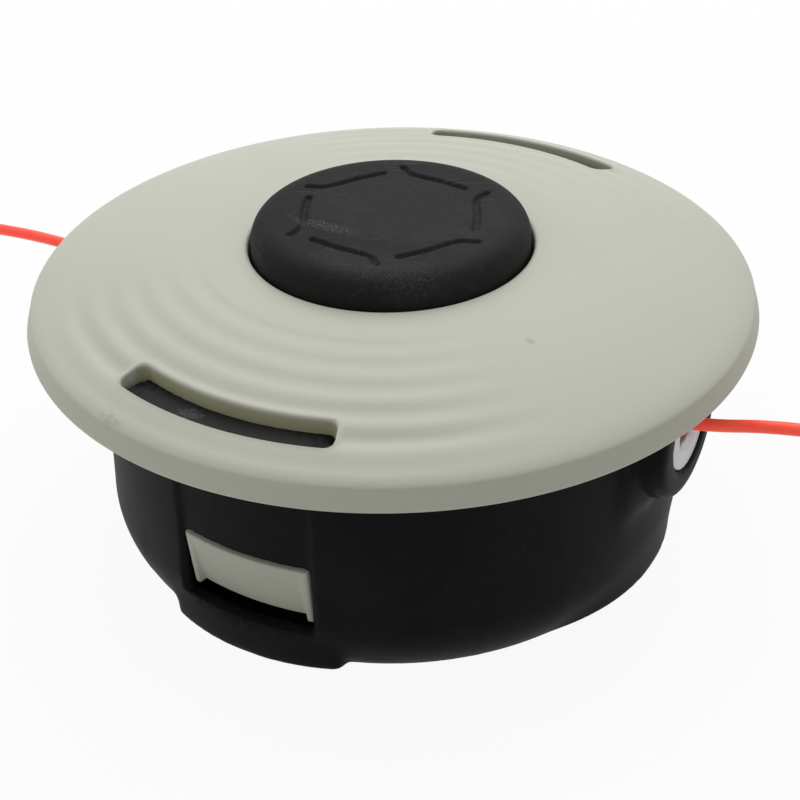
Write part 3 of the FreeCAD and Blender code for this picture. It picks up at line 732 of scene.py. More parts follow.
def close_up(bm: bmesh.types.BMesh) -> None:
    """Merge doubles and point every face outwards.

    Args:
        bm: The mesh.
    """
    bmesh.ops.remove_doubles(bm, verts=bm.verts, dist=1e-7)
    bmesh.ops.dissolve_degenerate(bm, edges=bm.edges, dist=1e-7)
    bmesh.ops.recalc_face_normals(bm, faces=bm.faces)


class Growth(Graph):
    """Geometry Nodes tree with named sizes, baked to a plain mesh."""

    def __init__(self, name: str) -> None:
        """Start an empty tree with a geometry input and output.

        Args:
            name: Name of the tree.
        """
        super().__init__(bpy.data.node_groups.new(name, "GeometryNodeTree"))
        self.values: dict[str, Any] = {}
        face = self.tree.interface
        face.new_socket("Geometry", in_out="INPUT", socket_type="NodeSocketGeometry")
        face.new_socket("Geometry", in_out="OUTPUT", socket_type="NodeSocketGeometry")
        self.entry = self.tree.nodes.new("NodeGroupInput")
        self.exit = self.tree.nodes.new("NodeGroupOutput")

    def size(self, name: str, value: float) -> Sock:
        """Add a named number to the tree's inputs."""
        return self._input(name, value, "NodeSocketFloat")

    def helper(self, name: str, value: bpy.types.Object) -> Sock:
        """Add a named object to the tree's inputs."""
        return self._input(name, value, "NodeSocketObject")

    def _input(self, name: str, value: Any, kind: str) -> Sock:
        """Add an input of a kind and remember its value.

        Args:
            name: Name of the input.
            value: Its value.
            kind: Its socket type.

        Returns:
            The input's socket.
        """
        item = self.tree.interface.new_socket(name, in_out="INPUT", socket_type=kind)
        self.values[item.identifier] = value
        return Sock(self, self.entry.outputs[name])

    def geometry(self) -> Sock:
        """Geometry that the tree starts from."""
        return Sock(self, self.entry.outputs["Geometry"])

    def coil(self, points: int, place: Callable[[Sock], Sock]) -> Sock:
        """Curve whose points follow a rule.

        Args:
            points: Number of points.
            place: Gives the position for the share of the curve from 0 to 1.

        Returns:
            The curve.
        """
        straight = self.node("GeometryNodeCurvePrimitiveLine", {}, {"Start": (0, 0, 0), "End": (1, 0, 0)})
        dense = self.node("GeometryNodeResampleCurve", {}, {"Curve": straight, "Count": points})
        share = self.node("GeometryNodeSplineParameter", {}, {}, "Factor")
        return self.node("GeometryNodeSetPosition", {}, {"Geometry": dense, "Position": place(share)})

    def tube(self, curve: Sock, radius: Sock, sides: int) -> Sock:
        """Closed tube of a radius round a curve.

        Args:
            curve: Middle line.
            radius: Radius of the tube.
            sides: Number of its sides.

        Returns:
            The tube.
        """
        section = self.node("GeometryNodeCurvePrimitiveCircle", {}, {"Resolution": sides, "Radius": radius})
        return self.node("GeometryNodeCurveToMesh", {},
                         {"Curve": curve, "Profile Curve": section, "Fill Caps": True})

    def joined(self, *geometries: Sock) -> Sock:
        """Join geometries into one.

        Args:
            geometries: The geometries.

        Returns:
            The joined geometry.
        """
        join = self.tree.nodes.new("GeometryNodeJoinGeometry")
        for geometry in geometries:
            self.tree.links.new(geometry.socket, join.inputs[0])
        return Sock(self, join.outputs[0])

    def bake(self, obj: bpy.types.Object, result: Sock, material: bpy.types.Material) -> bpy.types.Object:
        """Run the tree on an object and keep the result as its mesh.

        Args:
            obj: Object whose mesh enters the tree.
            result: Geometry that leaves it.
            material: Material of the result.

        Returns:
            The object with its new mesh.
        """
        real = self.node("GeometryNodeRealizeInstances", {}, {"Geometry": result})
        dressed = self.node("GeometryNodeSetMaterial", {}, {"Geometry": real, "Material": material})
        self.tree.links.new(dressed.socket, self.exit.inputs["Geometry"])
        modifier = obj.modifiers.new(self.tree.name, "NODES")
        modifier.node_group = self.tree
        for identifier, value in self.values.items():
            modifier[identifier] = value
        graph = bpy.context.evaluated_depsgraph_get()
        mesh = bpy.data.meshes.new_from_object(obj.evaluated_get(graph))
        obj.modifiers.remove(modifier)
        obj.data = mesh
        mesh.name = obj.name
        return obj


@dataclass
class Cover:
    """Grey disc with rippled deck, rounded rim, button hole, two slots and driving lugs."""

    radius: float = 70.0
    hole: float = 27.3
    hole_lip: float = 0.9
    hole_step: float = 1.5
    hole_rows: int = 5
    deck_edge: float = 62.0
    deck_edge_z: float = 54.15
    deck_top_z: float = 59.5
    deck_swell: float = 1.2
    deck_step: float = 0.55
    seat_z: float = 49.7
    rim_low_z: float = 46.7
    rim_in: float = 0.9
    rim_rows: int = 14
    rim_shoulder: float = 1.2
    side_drop: float = 1.9
    side_step: float = 0.7
    foot_round: float = 0.6
    foot_rows: int = 4
    thickness: float = 3.0
    under_slope: float = 0.4
    rabbet: float = 66.3
    seat_in: float = 64.2
    slot_in: float = 56.4
    slot_out: float = 62.2
    slot_half: float = 20.5
    slot_round: float = 1.8
    slot_edge: float = 0.4
    slot_lip: tuple[Point, ...] = ((0.3, 0.12), (0.08, 0.3), (0.0, 0.55))
    slot_margin: float = 0.9
    slot_wall: float = 2.0
    slot_wall_z: float = 50.0
    slot_slack: float = 0.3
    slot_split: float = 1.6
    slot_rows: int = 14
    lug_in: float = 32.1
    lug_out: float = 39.5
    lug_z: float = 52.0
    lug_height: float = 3.4
    lug_tip: float = 5.0
    lug_ramp: float = 4.0
    lug_gap: float = 0.5
    lug_count: int = 6
    lug_margin: float = 0.5
    overlap: float = 0.3
    collar: float = 2.4
    collar_z: float = 52.6
    leg_mid: float = 51.75
    leg_half: float = 9.2
    root_z: float = 50.6
    saddle_side: float = 1.5
    saddle_low: float = 0.6
    saddle_walls: tuple[Point, ...] = ((-2.7, -1.8), (1.8, 2.4))
    columns: int = 720
    ripple_first: float = 37.8
    ripple_last: float = 65.8
    ripple_count: int = 6
    ripple_inner_depth: float = 0.25
    ripple_outer_depth: float = 0.55
    ripple_rim_loss: float = 0.6
    ripple_stop: float = 1.8
    ripple_margin: Point = (0.5, 1.2)
    ripple_slack: float = 0.08
    ripple_full: float = 26.0
    ripple_half: float = 60.0

    def deck_share(self, r: float) -> float:
        """Place of a radius on the deck, from 0 at its edge to 1 at the hole."""
        return (self.deck_edge - r) / (self.deck_edge - self.hole)

    def cone_z(self, r: float) -> float:
        """Height of the straight cone under the deck's swelling."""
        return self.deck_edge_z + self.deck_share(r) * (self.deck_top_z - self.deck_edge_z)

    def deck_z(self, r: float) -> float:
        """Height of the deck at a radius."""
        share = self.deck_share(r)
        return self.cone_z(r) + 4.0 * self.deck_swell * share * (1.0 - share)

    @property
    def edge_slope(self) -> float:
        """Fall of the deck at its edge."""
        rise = self.deck_top_z - self.deck_edge_z + 4.0 * self.deck_swell
        return rise / (self.deck_edge - self.hole)

    def under_z(self, r: float) -> float:
        """Height of the deck's underside at a radius.

        Args:
            r: Radius in millimetres.

        Returns:
            Height in millimetres.
        """
        if r > self.deck_edge:
            return self.deck_edge_z - self.thickness - (r - self.deck_edge) * self.under_slope
        return self.cone_z(r) - self.thickness

    def rim_z(self, r: float) -> float:
        """Height of the rounded rim between the deck's edge and its side.

        Args:
            r: Radius in millimetres.

        Returns:
            Height in millimetres.
        """
        share = (r - self.deck_edge) / (self.radius - self.rim_in - self.deck_edge)
        fall = self.deck_edge_z - (r - self.deck_edge) * self.edge_slope
        drop = fall - self.seat_z - self.rim_shoulder
        return fall - drop * (1.0 - math.sqrt(max(0.0, 1.0 - share ** 4)))

    def section(self) -> Profile:
        """Half section of the disc, starting at the hole and going outwards over the top.

        Returns:
            The profile in millimetres.
        """
        edge = self.hole + self.hole_lip
        profile = Profile(self.hole, self.collar_z)
        profile.line(self.hole, self.deck_z(self.hole) - self.hole_lip, self.hole_step)
        profile.curve((self.hole, self.deck_z(self.hole)), edge, self.deck_z(edge), self.hole_rows)
        margin = self.slot_in - self.slot_margin
        rows = math.ceil((margin - edge) / self.deck_step)
        for i in range(1, rows + 1):
            r = edge + (margin - edge) * i / rows
            profile.line(r, self.deck_z(r))
        profile.line(self.slot_in, self.deck_z(self.slot_in))
        for i in range(1, self.slot_rows + 1):
            r = self.slot_in + (self.slot_out - self.slot_in) * i / self.slot_rows
            profile.line(r, self.top_z(r))
        rim = self.radius - self.rim_in
        for i in range(1, self.rim_rows + 1):
            r = self.slot_out + (rim - self.slot_out) * math.sin(0.5 * math.pi * i / self.rim_rows)
            profile.line(r, self.rim_z(r))
        profile.line(self.radius, self.seat_z - self.side_drop, self.side_step)
        foot = self.radius - self.foot_round
        profile.curve((self.radius, self.rim_low_z), foot, self.rim_low_z, self.foot_rows)
        profile.line(self.rabbet, self.rim_low_z).line(self.rabbet, self.seat_z)
        profile.line(self.seat_in, self.seat_z).line(self.seat_in, self.under_z(self.seat_in))
        for i in range(self.slot_rows + 1):
            r = self.slot_out + (self.slot_in - self.slot_out) * i / self.slot_rows
            profile.line(r, self.under_z(r))
        wall = self.slot_in - self.slot_wall
        profile.line(self.slot_in, self.slot_wall_z).line(wall, self.slot_wall_z)
        profile.line(wall, self.under_z(wall))
        out, inner = self.lug_out + self.lug_margin, self.lug_in - self.lug_margin
        profile.line(out, self.under_z(out)).line(out, self.lug_z).line(inner, self.lug_z)
        profile.line(inner, self.under_z(inner))
        ring = self.hole + self.collar
        return profile.line(ring, self.under_z(ring)).line(ring, self.collar_z)

    def top_z(self, r: float) -> float:
        """Height of the top at any radius."""
        return self.deck_z(r) if r <= self.deck_edge else self.rim_z(r)

    def slot_offset(self, x: float, y: float, azimuth: float) -> tuple[float, float, float, float]:
        """Place of a point relative to a slot.

        Args:
            x: X in millimetres.
            y: Y in millimetres.
            azimuth: Middle of the slot in degrees.

        Returns:
            Distance along and across from the slot's inner core, and the core's own nearest point.
        """
        middle = (self.slot_in + self.slot_out) / 2
        turn = math.degrees(math.atan2(y, x)) - azimuth
        along = math.radians((turn + 180.0) % 360.0 - 180.0) * middle
        across = math.hypot(x, y) - middle
        long_half = math.radians(self.slot_half) * middle - self.slot_round
        wide_half = (self.slot_out - self.slot_in) / 2 - self.slot_round
        near_u = min(max(along, -long_half), long_half)
        near_v = min(max(across, -wide_half), wide_half)
        return along - near_u, across - near_v, near_u, near_v

    def in_slot(self, x: float, y: float, azimuth: float) -> bool:
        """Whether a point lies in a slot."""
        du, dv, _, _ = self.slot_offset(x, y, azimuth)
        return math.hypot(du, dv) < self.slot_round

    def slot_edge_point(self, x: float, y: float, azimuth: float, grow: float) -> Point:
        """Nearest point on a slot's outline.

        Args:
            x: X in millimetres.
            y: Y in millimetres.
            azimuth: Middle of the slot in degrees.
            grow: Distance outside the outline.

        Returns:
            X and Y of the point.
        """
        du, dv, near_u, near_v = self.slot_offset(x, y, azimuth)
        length = max(math.hypot(du, dv), 1e-6)
        reach = (self.slot_round + grow) / length
        middle = (self.slot_in + self.slot_out) / 2
        turn = math.radians(azimuth) + (near_u + du * reach) / middle
        r = middle + near_v + dv * reach
        return r * math.cos(turn), r * math.sin(turn)

    def cut_slot(self, bm: bmesh.types.BMesh, azimuth: float) -> None:
        """Cut a slot through the disc and give it walls with a soft upper edge.

        Args:
            bm: Mesh of the disc.
            azimuth: Middle of the slot in degrees.
        """
        low_r, high_r = (self.slot_in - self.slot_slack) * MM, (self.slot_out + self.slot_slack) * MM
        split = (self.deck_edge_z - self.slot_split) * MM
        gone = []
        for face in bm.faces:
            centre = face.calc_center_median()
            flat = math.hypot(centre.x, centre.y)
            if low_r < flat < high_r and abs(face.normal.z) > 0.2 and \
                    self.in_slot(centre.x / MM, centre.y / MM, azimuth):
                gone.append(face)
        bmesh.ops.delete(bm, geom=gone, context="FACES")
        rims = [e for e in bm.edges if len(e.link_faces) == 1]
        tops = [e for e in rims if e.verts[0].co.z > split]
        verts = {v for e in rims for v in e.verts}
        pairs: dict[bmesh.types.BMVert, list[bmesh.types.BMVert]] = {}
        lows = [v for v in verts if v.co.z <= split]
        for vert in verts - set(lows):
            match = min(lows, key=lambda other: (other.co.xy - vert.co.xy).length_squared)
            pairs[vert] = [match]
        for vert, chain in pairs.items():
            x, y = vert.co.x / MM, vert.co.y / MM
            low = chain[0]
            for grow, drop in self.slot_lip:
                px, py = self.slot_edge_point(x, y, azimuth, grow * self.slot_edge / self.slot_lip[-1][1])
                chain.insert(-1, bm.verts.new((px * MM, py * MM, vert.co.z - drop * MM)))
            px, py = self.slot_edge_point(x, y, azimuth, self.slot_edge)
            vert.co.x, vert.co.y = px * MM, py * MM
            px, py = self.slot_edge_point(x, y, azimuth, 0.0)
            low.co.x, low.co.y = px * MM, py * MM
        for edge in tops:
            a, b = edge.verts
            left, right = [a] + pairs[a], [b] + pairs[b]
            for i in range(len(left) - 1):
                bm.faces.new((left[i], right[i], right[i + 1], left[i + 1]))

    def ripple_share(self, x: float, y: float, z: float) -> float:
        """How far the ripples reach a point: 1 on the open deck, falling to 0 at a slot's edge.

        Args:
            x: X in millimetres.
            y: Y in millimetres.
            z: Z in millimetres.

        Returns:
            Share from 0 to 1.
        """
        r = math.hypot(x, y)
        low, high = self.hole + self.ripple_margin[0], self.radius - self.ripple_margin[1]
        if not low < r < high or abs(z - self.top_z(r)) > self.ripple_slack:
            return 0.0
        du, dv, _, _ = self.slot_offset(x, y, BACK if y > 0.0 else FRONT)
        t = min(1.0, max(0.0, (math.hypot(du, dv) - self.slot_round) / self.ripple_stop))
        return t * t * (3.0 - 2.0 * t)

    def add_lugs(self, bm: bmesh.types.BMesh) -> None:
        """Add the driving lugs under the lug ring.

        Args:
            bm: Mesh of the disc.
        """
        top, low = self.lug_z + self.overlap, self.lug_z - self.lug_height
        start = -self.lug_gap
        shape = ((start, top), (start, low), (start - self.lug_tip, low),
                 (start - self.lug_tip - self.lug_ramp, top))
        for i in range(self.lug_count):
            turn = Matrix.Rotation(2.0 * math.pi * i / self.lug_count, 3, "Z")
            prism(bm, shape, self.lug_in, self.lug_out, turn)

    def add_saddles(self, bm: bmesh.types.BMesh) -> None:
        """Add the blocks that hold the legs' roots.

        Args:
            bm: Mesh of the disc.
        """
        top, low = self.under_z(self.leg_mid) + self.overlap, self.root_z + self.saddle_low
        half = self.leg_half + self.saddle_side
        shape = ((-half, top), (-half, low), (half, low), (half, top))
        for azimuth in (FRONT, BACK):
            turn = Matrix.Rotation(math.radians(azimuth), 3, "Z")
            for inner, outer in self.saddle_walls:
                prism(bm, shape, self.leg_mid + inner, self.leg_mid + outer, turn)

    def ripples(self, obj: bpy.types.Object, material: bpy.types.Material) -> bpy.types.Object:
        """Sink the fading ring ripples into the deck.

        Args:
            obj: The disc.
            material: Its material.

        Returns:
            The disc with its new mesh.
        """
        growth = Growth("deck_ripples")
        first = growth.size("First Radius", self.ripple_first * MM)
        last = growth.size("Last Radius", self.ripple_last * MM)
        count = growth.size("Count", float(self.ripple_count))
        shallow = growth.size("Inner Depth", self.ripple_inner_depth * MM)
        deep = growth.size("Outer Depth", self.ripple_outer_depth * MM)
        loss = growth.size("Loss On Rim", self.ripple_rim_loss)
        full = growth.size("Full Half Angle", math.radians(self.ripple_full))
        fade = growth.size("Fade Half Angle", math.radians(self.ripple_half))
        place = growth.node("GeometryNodeInputPosition")
        x, y, z = growth.parts(place)
        radius = growth.span("LENGTH", growth.vector(x, y, 0.0))
        pitch = (last - first) / (count - 1.0)
        wave = ((radius - first) * (2.0 * math.pi) / pitch).cos() * 0.5 + 0.5
        inside = radius.rise(first - pitch * 0.5, first) * (1.0 - radius.rise(last, last + pitch * 0.5))
        turn = y.math("ARCTAN2", x.math("ABSOLUTE", x), y.math("ABSOLUTE", y))
        strength = 1.0 - turn.rise(full, fade)
        share = ((radius - first) / (last - pitch - first)).at_least(0.0).at_most(1.0)
        on_rim = radius.rise(last - pitch * 0.75, last - pitch * 0.25)
        depth = (shallow + (deep - shallow) * share * share) * (1.0 - on_rim * loss)
        deck = growth.node("GeometryNodeInputNamedAttribute", {"data_type": "FLOAT"}, {"Name": "deck"})
        sink = wave * inside * strength * deck * depth
        offset = growth.vector(0.0, 0.0, 0.0 - sink)
        moved = growth.node("GeometryNodeSetPosition", {}, {"Geometry": growth.geometry(), "Offset": offset})
        return growth.bake(obj, moved, material)

    def build(self, wardrobe: Wardrobe) -> None:
        """Build the disc and put it in its node's place.

        Args:
            wardrobe: Materials by slot.
        """
        bm, _ = revolve(self.section().points, self.columns)
        bm.normal_update()
        for azimuth in (FRONT, BACK):
            self.cut_slot(bm, azimuth)
        close_up(bm)
        deck = bm.verts.layers.float.new("deck")
        for vert in bm.verts:
            vert[deck] = self.ripple_share(*(vert.co / MM))
        self.add_lugs(bm)
        self.add_saddles(bm)
        obj = mesh_object("cover_disc", bm)
        self.ripples(obj, wardrobe.materials[Slot.COVER])
        soften(obj.data)
        settle(obj, Body.HOUSING, Slot.COVER, "cover")


def prism(bm: bmesh.types.BMesh, shape: Sequence[Point], low: float, high: float, turn: Matrix) -> None:
    """Add a prism that runs outwards along a radius.

    Args:
        bm: Mesh that takes it.
        shape: Corners across the radius, as side and height in millimetres.
        low: Inner end in millimetres.
        high: Outer end in millimetres.
        turn: Rotation about Z.
    """
    ends = []
    for r in (low, high):
        ends.append([bm.verts.new(turn @ (Vector((r, side, z)) * MM)) for side, z in shape])
    count = len(shape)
    faces = [bm.faces.new(ends[0]), bm.faces.new(list(reversed(ends[1])))]
    for i in range(count):
        n = (i + 1) % count
        faces.append(bm.faces.new((ends[0][n], ends[0][i], ends[1][i], ends[1][n])))
    bmesh.ops.recalc_face_normals(bm, faces=faces)


@dataclass
class BumpButton:
    """Domed cap with six hooked grooves round its face."""

    radius: float = 26.7
    flat: float = 22.1
    top_z: float = 65.0
    side_z: float = 60.2
    low_z: float = 48.0
    inner: float = 22.55
    inner_z: float = 56.4
    dome: float = 17.4
    dome_z: float = 61.8
    middle: float = 0.02
    plain: float = 13.5
    plain_step: float = 1.5
    groove_step: float = 0.24
    shoulder: Point = (0.1, 0.2)
    shoulder_rows: int = 18
    side_step: float = 2.0
    angle: float = 50.0
    columns: int = 480
    groove_width: float = 1.0
    groove_depth: float = 0.75
    groove_count: int = 6
    groove_radii: tuple[float, ...] = (17.4, 16.7, 16.4, 16.7, 17.7, 20.1)
    groove_angles: tuple[float, ...] = (-26.0, -13.0, 0.0, 12.0, 18.5, 22.0)

    def section(self) -> Profile:
        """Half section from the middle of the face round to the middle of the inside.

        Returns:
            The profile in millimetres.
        """
        profile = Profile(self.middle, self.top_z)
        profile.line(self.plain, self.top_z, self.plain_step).line(self.flat, self.top_z, self.groove_step)
        corner = (self.radius - self.shoulder[0], self.top_z - self.shoulder[1])
        profile.curve(corner, self.radius, self.side_z, self.shoulder_rows)
        profile.line(self.radius, self.low_z, self.side_step).line(self.inner, self.low_z)
        profile.line(self.inner, self.inner_z, self.side_step).line(self.dome, self.dome_z)
        return profile.line(self.middle, self.dome_z)

    def groove_path(self) -> bpy.types.Object:
        """Curve of one groove, made as a helper.

        Returns:
            The helper object.
        """
        data = bpy.data.curves.new("groove_path", "CURVE")
        data.dimensions = "3D"
        spline = data.splines.new("NURBS")
        spline.points.add(len(self.groove_radii) - 1)
        for point, r, degrees in zip(spline.points, self.groove_radii, self.groove_angles):
            a = math.radians(degrees)
            point.co = (r * math.cos(a) * MM, r * math.sin(a) * MM, self.top_z * MM, 1.0)
        spline.order_u = 3
        spline.use_endpoint_u = True
        spline.resolution_u = 8
        return new_object("groove_path", data)

    def grooves(self, obj: bpy.types.Object, material: bpy.types.Material) -> bpy.types.Object:
        """Press the ring of grooves into the face.

        Args:
            obj: The cap.
            material: Its material.

        Returns:
            The cap with its new mesh.
        """
        path = self.groove_path()
        growth = Growth("button_grooves")
        curve = growth.helper("Groove Path", path)
        count = growth.size("Count", float(self.groove_count))
        width = growth.size("Half Width", self.groove_width * MM)
        depth = growth.size("Depth", self.groove_depth * MM)
        loop = growth.node("GeometryNodeMeshLine", {}, {"Count": count, "Offset": (0.0, 0.0, 0.0)})
        index = growth.node("GeometryNodeInputIndex")
        turn = growth.vector(0.0, 0.0, (index - 0.5) * (2.0 * math.pi) / count)
        line = growth.node("GeometryNodeObjectInfo", {}, {"Object": curve}, "Geometry")
        ring = growth.node("GeometryNodeInstanceOnPoints", {},
                           {"Points": loop, "Instance": line, "Rotation": turn})
        paths = growth.node("GeometryNodeCurveToMesh", {},
                            {"Curve": growth.node("GeometryNodeRealizeInstances", {}, {"Geometry": ring})})
        away = growth.node("GeometryNodeProximity", {"target_element": "EDGES"}, {0: paths}, "Distance")
        sink = (1.0 - away.rise(width * 0.25, width)) * depth
        offset = growth.vector(0.0, 0.0, 0.0 - sink)
        moved = growth.node("GeometryNodeSetPosition", {}, {"Geometry": growth.geometry(), "Offset": offset})
        growth.bake(obj, moved, material)
        bpy.data.objects.remove(path)
        return obj

    def build(self, wardrobe: Wardrobe) -> None:
        """Build the cap and put it in its node's place.

        Args:
            wardrobe: Materials by slot.
        """
        bm, _ = revolve(self.section().points, self.columns, closed=False)
        bmesh.ops.holes_fill(bm, edges=[e for e in bm.edges if e.is_boundary], sides=0)
        close_up(bm)
        obj = mesh_object("button_cap", bm)
        self.grooves(obj, wardrobe.materials[Slot.BUTTON])
        soften(obj.data, self.angle)
        settle(obj, Body.SPOOL, Slot.BUTTON, "bump_button")


@dataclass
class Housing:
    """Black bowl with softly moulded edges, and its two metal eyelets."""

    angle: float = 32.0
    voxel: float = 0.5
    rounds: int = 2
    kept_share: float = 0.25
    ease: float = 0.5
    inward: float = -0.3
    edge_rounds: int = 5
    hub: float = 13.0
    eye_z: float = 35.0
    boss: float = 14.6
    outer: float = 50.0
    low_z: float = 2.5
    high_z: float = 46.0
    block_far: float = 27.0
    block_rounds: int = 50
    window_half: float = 15.0
    window_low: float = 8.0
    window_high: float = 25.0
    pad_far: float = 27.0
    pad_z: float = 17.0
    pad_rounds: int = 30

    def round_off(self, obj: bpy.types.Object) -> None:
        """Round every edge of the bowl as a mould leaves it, and bake the result.

        Args:
            obj: The bowl.
        """
        cells = obj.modifiers.new("cells", "REMESH")
        cells.mode = "VOXEL"
        cells.voxel_size = self.voxel * MM
        ease = obj.modifiers.new("ease", "SMOOTH")
        ease.factor = self.ease
        ease.iterations = self.rounds
        thin = obj.modifiers.new("thin", "DECIMATE")
        thin.ratio = self.kept_share
        graph = bpy.context.evaluated_depsgraph_get()
        mesh = bpy.data.meshes.new_from_object(obj.evaluated_get(graph))
        obj.modifiers.clear()
        obj.data = mesh
        mesh.name = obj.name
        self.ease_wall(mesh)
        soften(mesh, self.angle)

    def ease_wall(self, mesh: bpy.types.Mesh) -> None:
        """Round all edges but the hub's and the windows', and ease the blocks and pads into the wall.

        Args:
            mesh: Mesh of the bowl.
        """
        bm = bmesh.new()
        bm.from_mesh(mesh)
        bm.normal_update()
        edges, blocks, pads = [], [], []
        for vert in bm.verts:
            x, y, z = vert.co / MM
            around = Vector((x, y, 0.0))
            by_window = abs(x) < self.window_half and self.window_low < z < self.window_high
            if around.length > self.hub and not by_window:
                edges.append(vert)
            if around.length < self.outer or not self.low_z < z < self.high_z:
                continue
            if vert.normal.dot(around) < self.inward * around.length:
                continue
            if abs(y) < self.block_far and math.hypot(y, z - self.eye_z) > self.boss:
                blocks.append(vert)
            elif self.window_half < abs(x) < self.pad_far and z < self.pad_z:
                pads.append(vert)
        for verts, rounds in ((edges, self.edge_rounds), (blocks, self.block_rounds),
                              (pads, self.pad_rounds)):
            for _ in range(rounds):
                bmesh.ops.smooth_vert(bm, verts=verts, factor=self.ease, use_axis_x=True,
                                      use_axis_y=True, use_axis_z=True)
        bm.to_mesh(mesh)
        bm.free()

    def build(self, wardrobe: Wardrobe) -> None:
        """Build the bowl and the eyelets.

        Args:
            wardrobe: Materials by slot.
        """
        bowl = welded_copy("housing", "housing_bowl", self.angle)
        self.round_off(bowl)
        wardrobe.dress(bowl, Slot.HOUSING)
        settle(bowl, Body.HOUSING, Slot.HOUSING, "housing")
        for side in ("right", "left"):
            sleeve = welded_copy("eyelet_" + side, "eyelet_sleeve_" + side, self.angle)
            wardrobe.dress(sleeve, Slot.EYELET)
            settle(sleeve, Body.HOUSING, Slot.EYELET, "eyelet_" + side)


@dataclass
class Latch:
    """Grey leg that hangs from the cover, with the sloping tab that shows in the housing's window."""

    body: Body
    azimuth: float
    half_w: float = 13.0
    low_z: float = 10.4
    high_z: float = 22.4
    low_r: float = 53.9
    high_r: float = 56.8
    rib_w: float = 1.6
    rib_h: float = 1.3
    foot: float = 0.6
    soft: float = 0.55
    leg_in: float = 50.7
    leg_t: float = 2.1
    leg_half: float = 9.2
    root_z: float = 50.6
    root_r: float = 1.7
    root_rows: int = 24
    columns: int = 78
    rows: int = 30

    def rib_share(self, side: float) -> float:
        """How far a point across the tab lies on a rib, from 0 to 1.

        Args:
            side: Distance from the tab's middle in millimetres.

        Returns:
            Share from 0 to 1.
        """
        t = (abs(side) - (self.half_w - self.rib_w - self.soft)) / (2.0 * self.soft)
        t = min(max(t, 0.0), 1.0)
        return t * t * (3.0 - 2.0 * t)

    def edge_drop(self, gap: float) -> float:
        """Rounding of the face at a distance from the tab's outline."""
        inside = max(0.0, self.soft - gap)
        return self.soft - math.sqrt(max(0.0, self.soft ** 2 - inside ** 2))

    def face_point(self, across: float, up: float) -> Vector:
        """Point of the tab's face.

        Args:
            across: Place across the tab from -1 to 1.
            up: Place from its lower edge at 0 to its upper edge at 1.

        Returns:
            The point in millimetres, with X outwards.
        """
        side = across * self.half_w
        rib = self.rib_share(side)
        low = self.low_z - self.foot * rib
        z = low + up * (self.high_z - low)
        climb = (z - self.low_z) / (self.high_z - self.low_z)
        r = self.low_r + climb * (self.high_r - self.low_r) + rib * self.rib_h * (1.0 - climb)
        gap = min(self.half_w - abs(side), z - low, self.high_z - z)
        return Vector((math.sqrt(r * r - side * side) - self.edge_drop(gap), side, z))

    def tab(self, bm: bmesh.types.BMesh) -> list[bmesh.types.BMFace]:
        """Add the tab: its moulded face, its sides and its plain back.

        Args:
            bm: Mesh that takes it.

        Returns:
            The new faces.
        """
        grid = []
        for i in range(self.rows + 1):
            up = 0.5 - 0.5 * math.cos(math.pi * i / self.rows)
            across = [math.sin(math.pi * (k / self.columns - 0.5)) for k in range(self.columns + 1)]
            grid.append([bm.verts.new(self.face_point(a, up)) for a in across])
        faces = []
        for low, high in zip(grid, grid[1:]):
            for k in range(self.columns):
                faces.append(bm.faces.new((low[k], low[k + 1], high[k + 1], high[k])))
        left, right = [row[0] for row in grid], [row[-1] for row in grid]
        loop = grid[0] + right[1:-1] + grid[-1][::-1] + left[-2:0:-1]
        back = [bm.verts.new((self.leg_in + self.leg_t / 2, v.co.y, v.co.z)) for v in loop]
        for k in range(len(loop)):
            n = (k + 1) % len(loop)
            faces.append(bm.faces.new((loop[n], loop[k], back[k], back[n])))
        return faces + [bm.faces.new(back)]

    def leg(self, bm: bmesh.types.BMesh) -> list[bmesh.types.BMFace]:
        """Add the leg with its round root.

        Args:
            bm: Mesh that takes it.

        Returns:
            The new faces.
        """
        middle, half = self.leg_in + self.leg_t / 2, self.leg_t / 2
        start = math.asin(half / self.root_r)
        outline = [(middle - half, self.low_z), (middle + half, self.low_z)]
        for i in range(self.root_rows + 1):
            a = start + (2.0 * math.pi - 2.0 * start) * i / self.root_rows
            outline.append((middle + self.root_r * math.sin(a), self.root_z - self.root_r * math.cos(a)))
        ends = [[bm.verts.new((x, side, z)) for x, z in outline] for side in (-self.leg_half, self.leg_half)]
        faces = [bm.faces.new(ends[0]), bm.faces.new(ends[1][::-1])]
        for k in range(len(outline)):
            n = (k + 1) % len(outline)
            faces.append(bm.faces.new((ends[0][n], ends[0][k], ends[1][k], ends[1][n])))
        return faces

    def build(self, wardrobe: Wardrobe) -> None:
        """Build the latch and put it in its node's place.

        Args:
            wardrobe: Materials by slot.
        """
        bm = bmesh.new()
        for faces in (self.tab(bm), self.leg(bm)):
            bmesh.ops.recalc_face_normals(bm, faces=faces)
        turn = Matrix.Rotation(math.radians(self.azimuth), 4, "Z")
        bmesh.ops.transform(bm, matrix=turn @ Matrix.Scale(MM, 4), verts=bm.verts)
        obj = mesh_object("leg_of_" + self.body.value, bm)
        wardrobe.dress(obj, Slot.COVER)
        settle(obj, self.body, Slot.COVER, self.body.value)


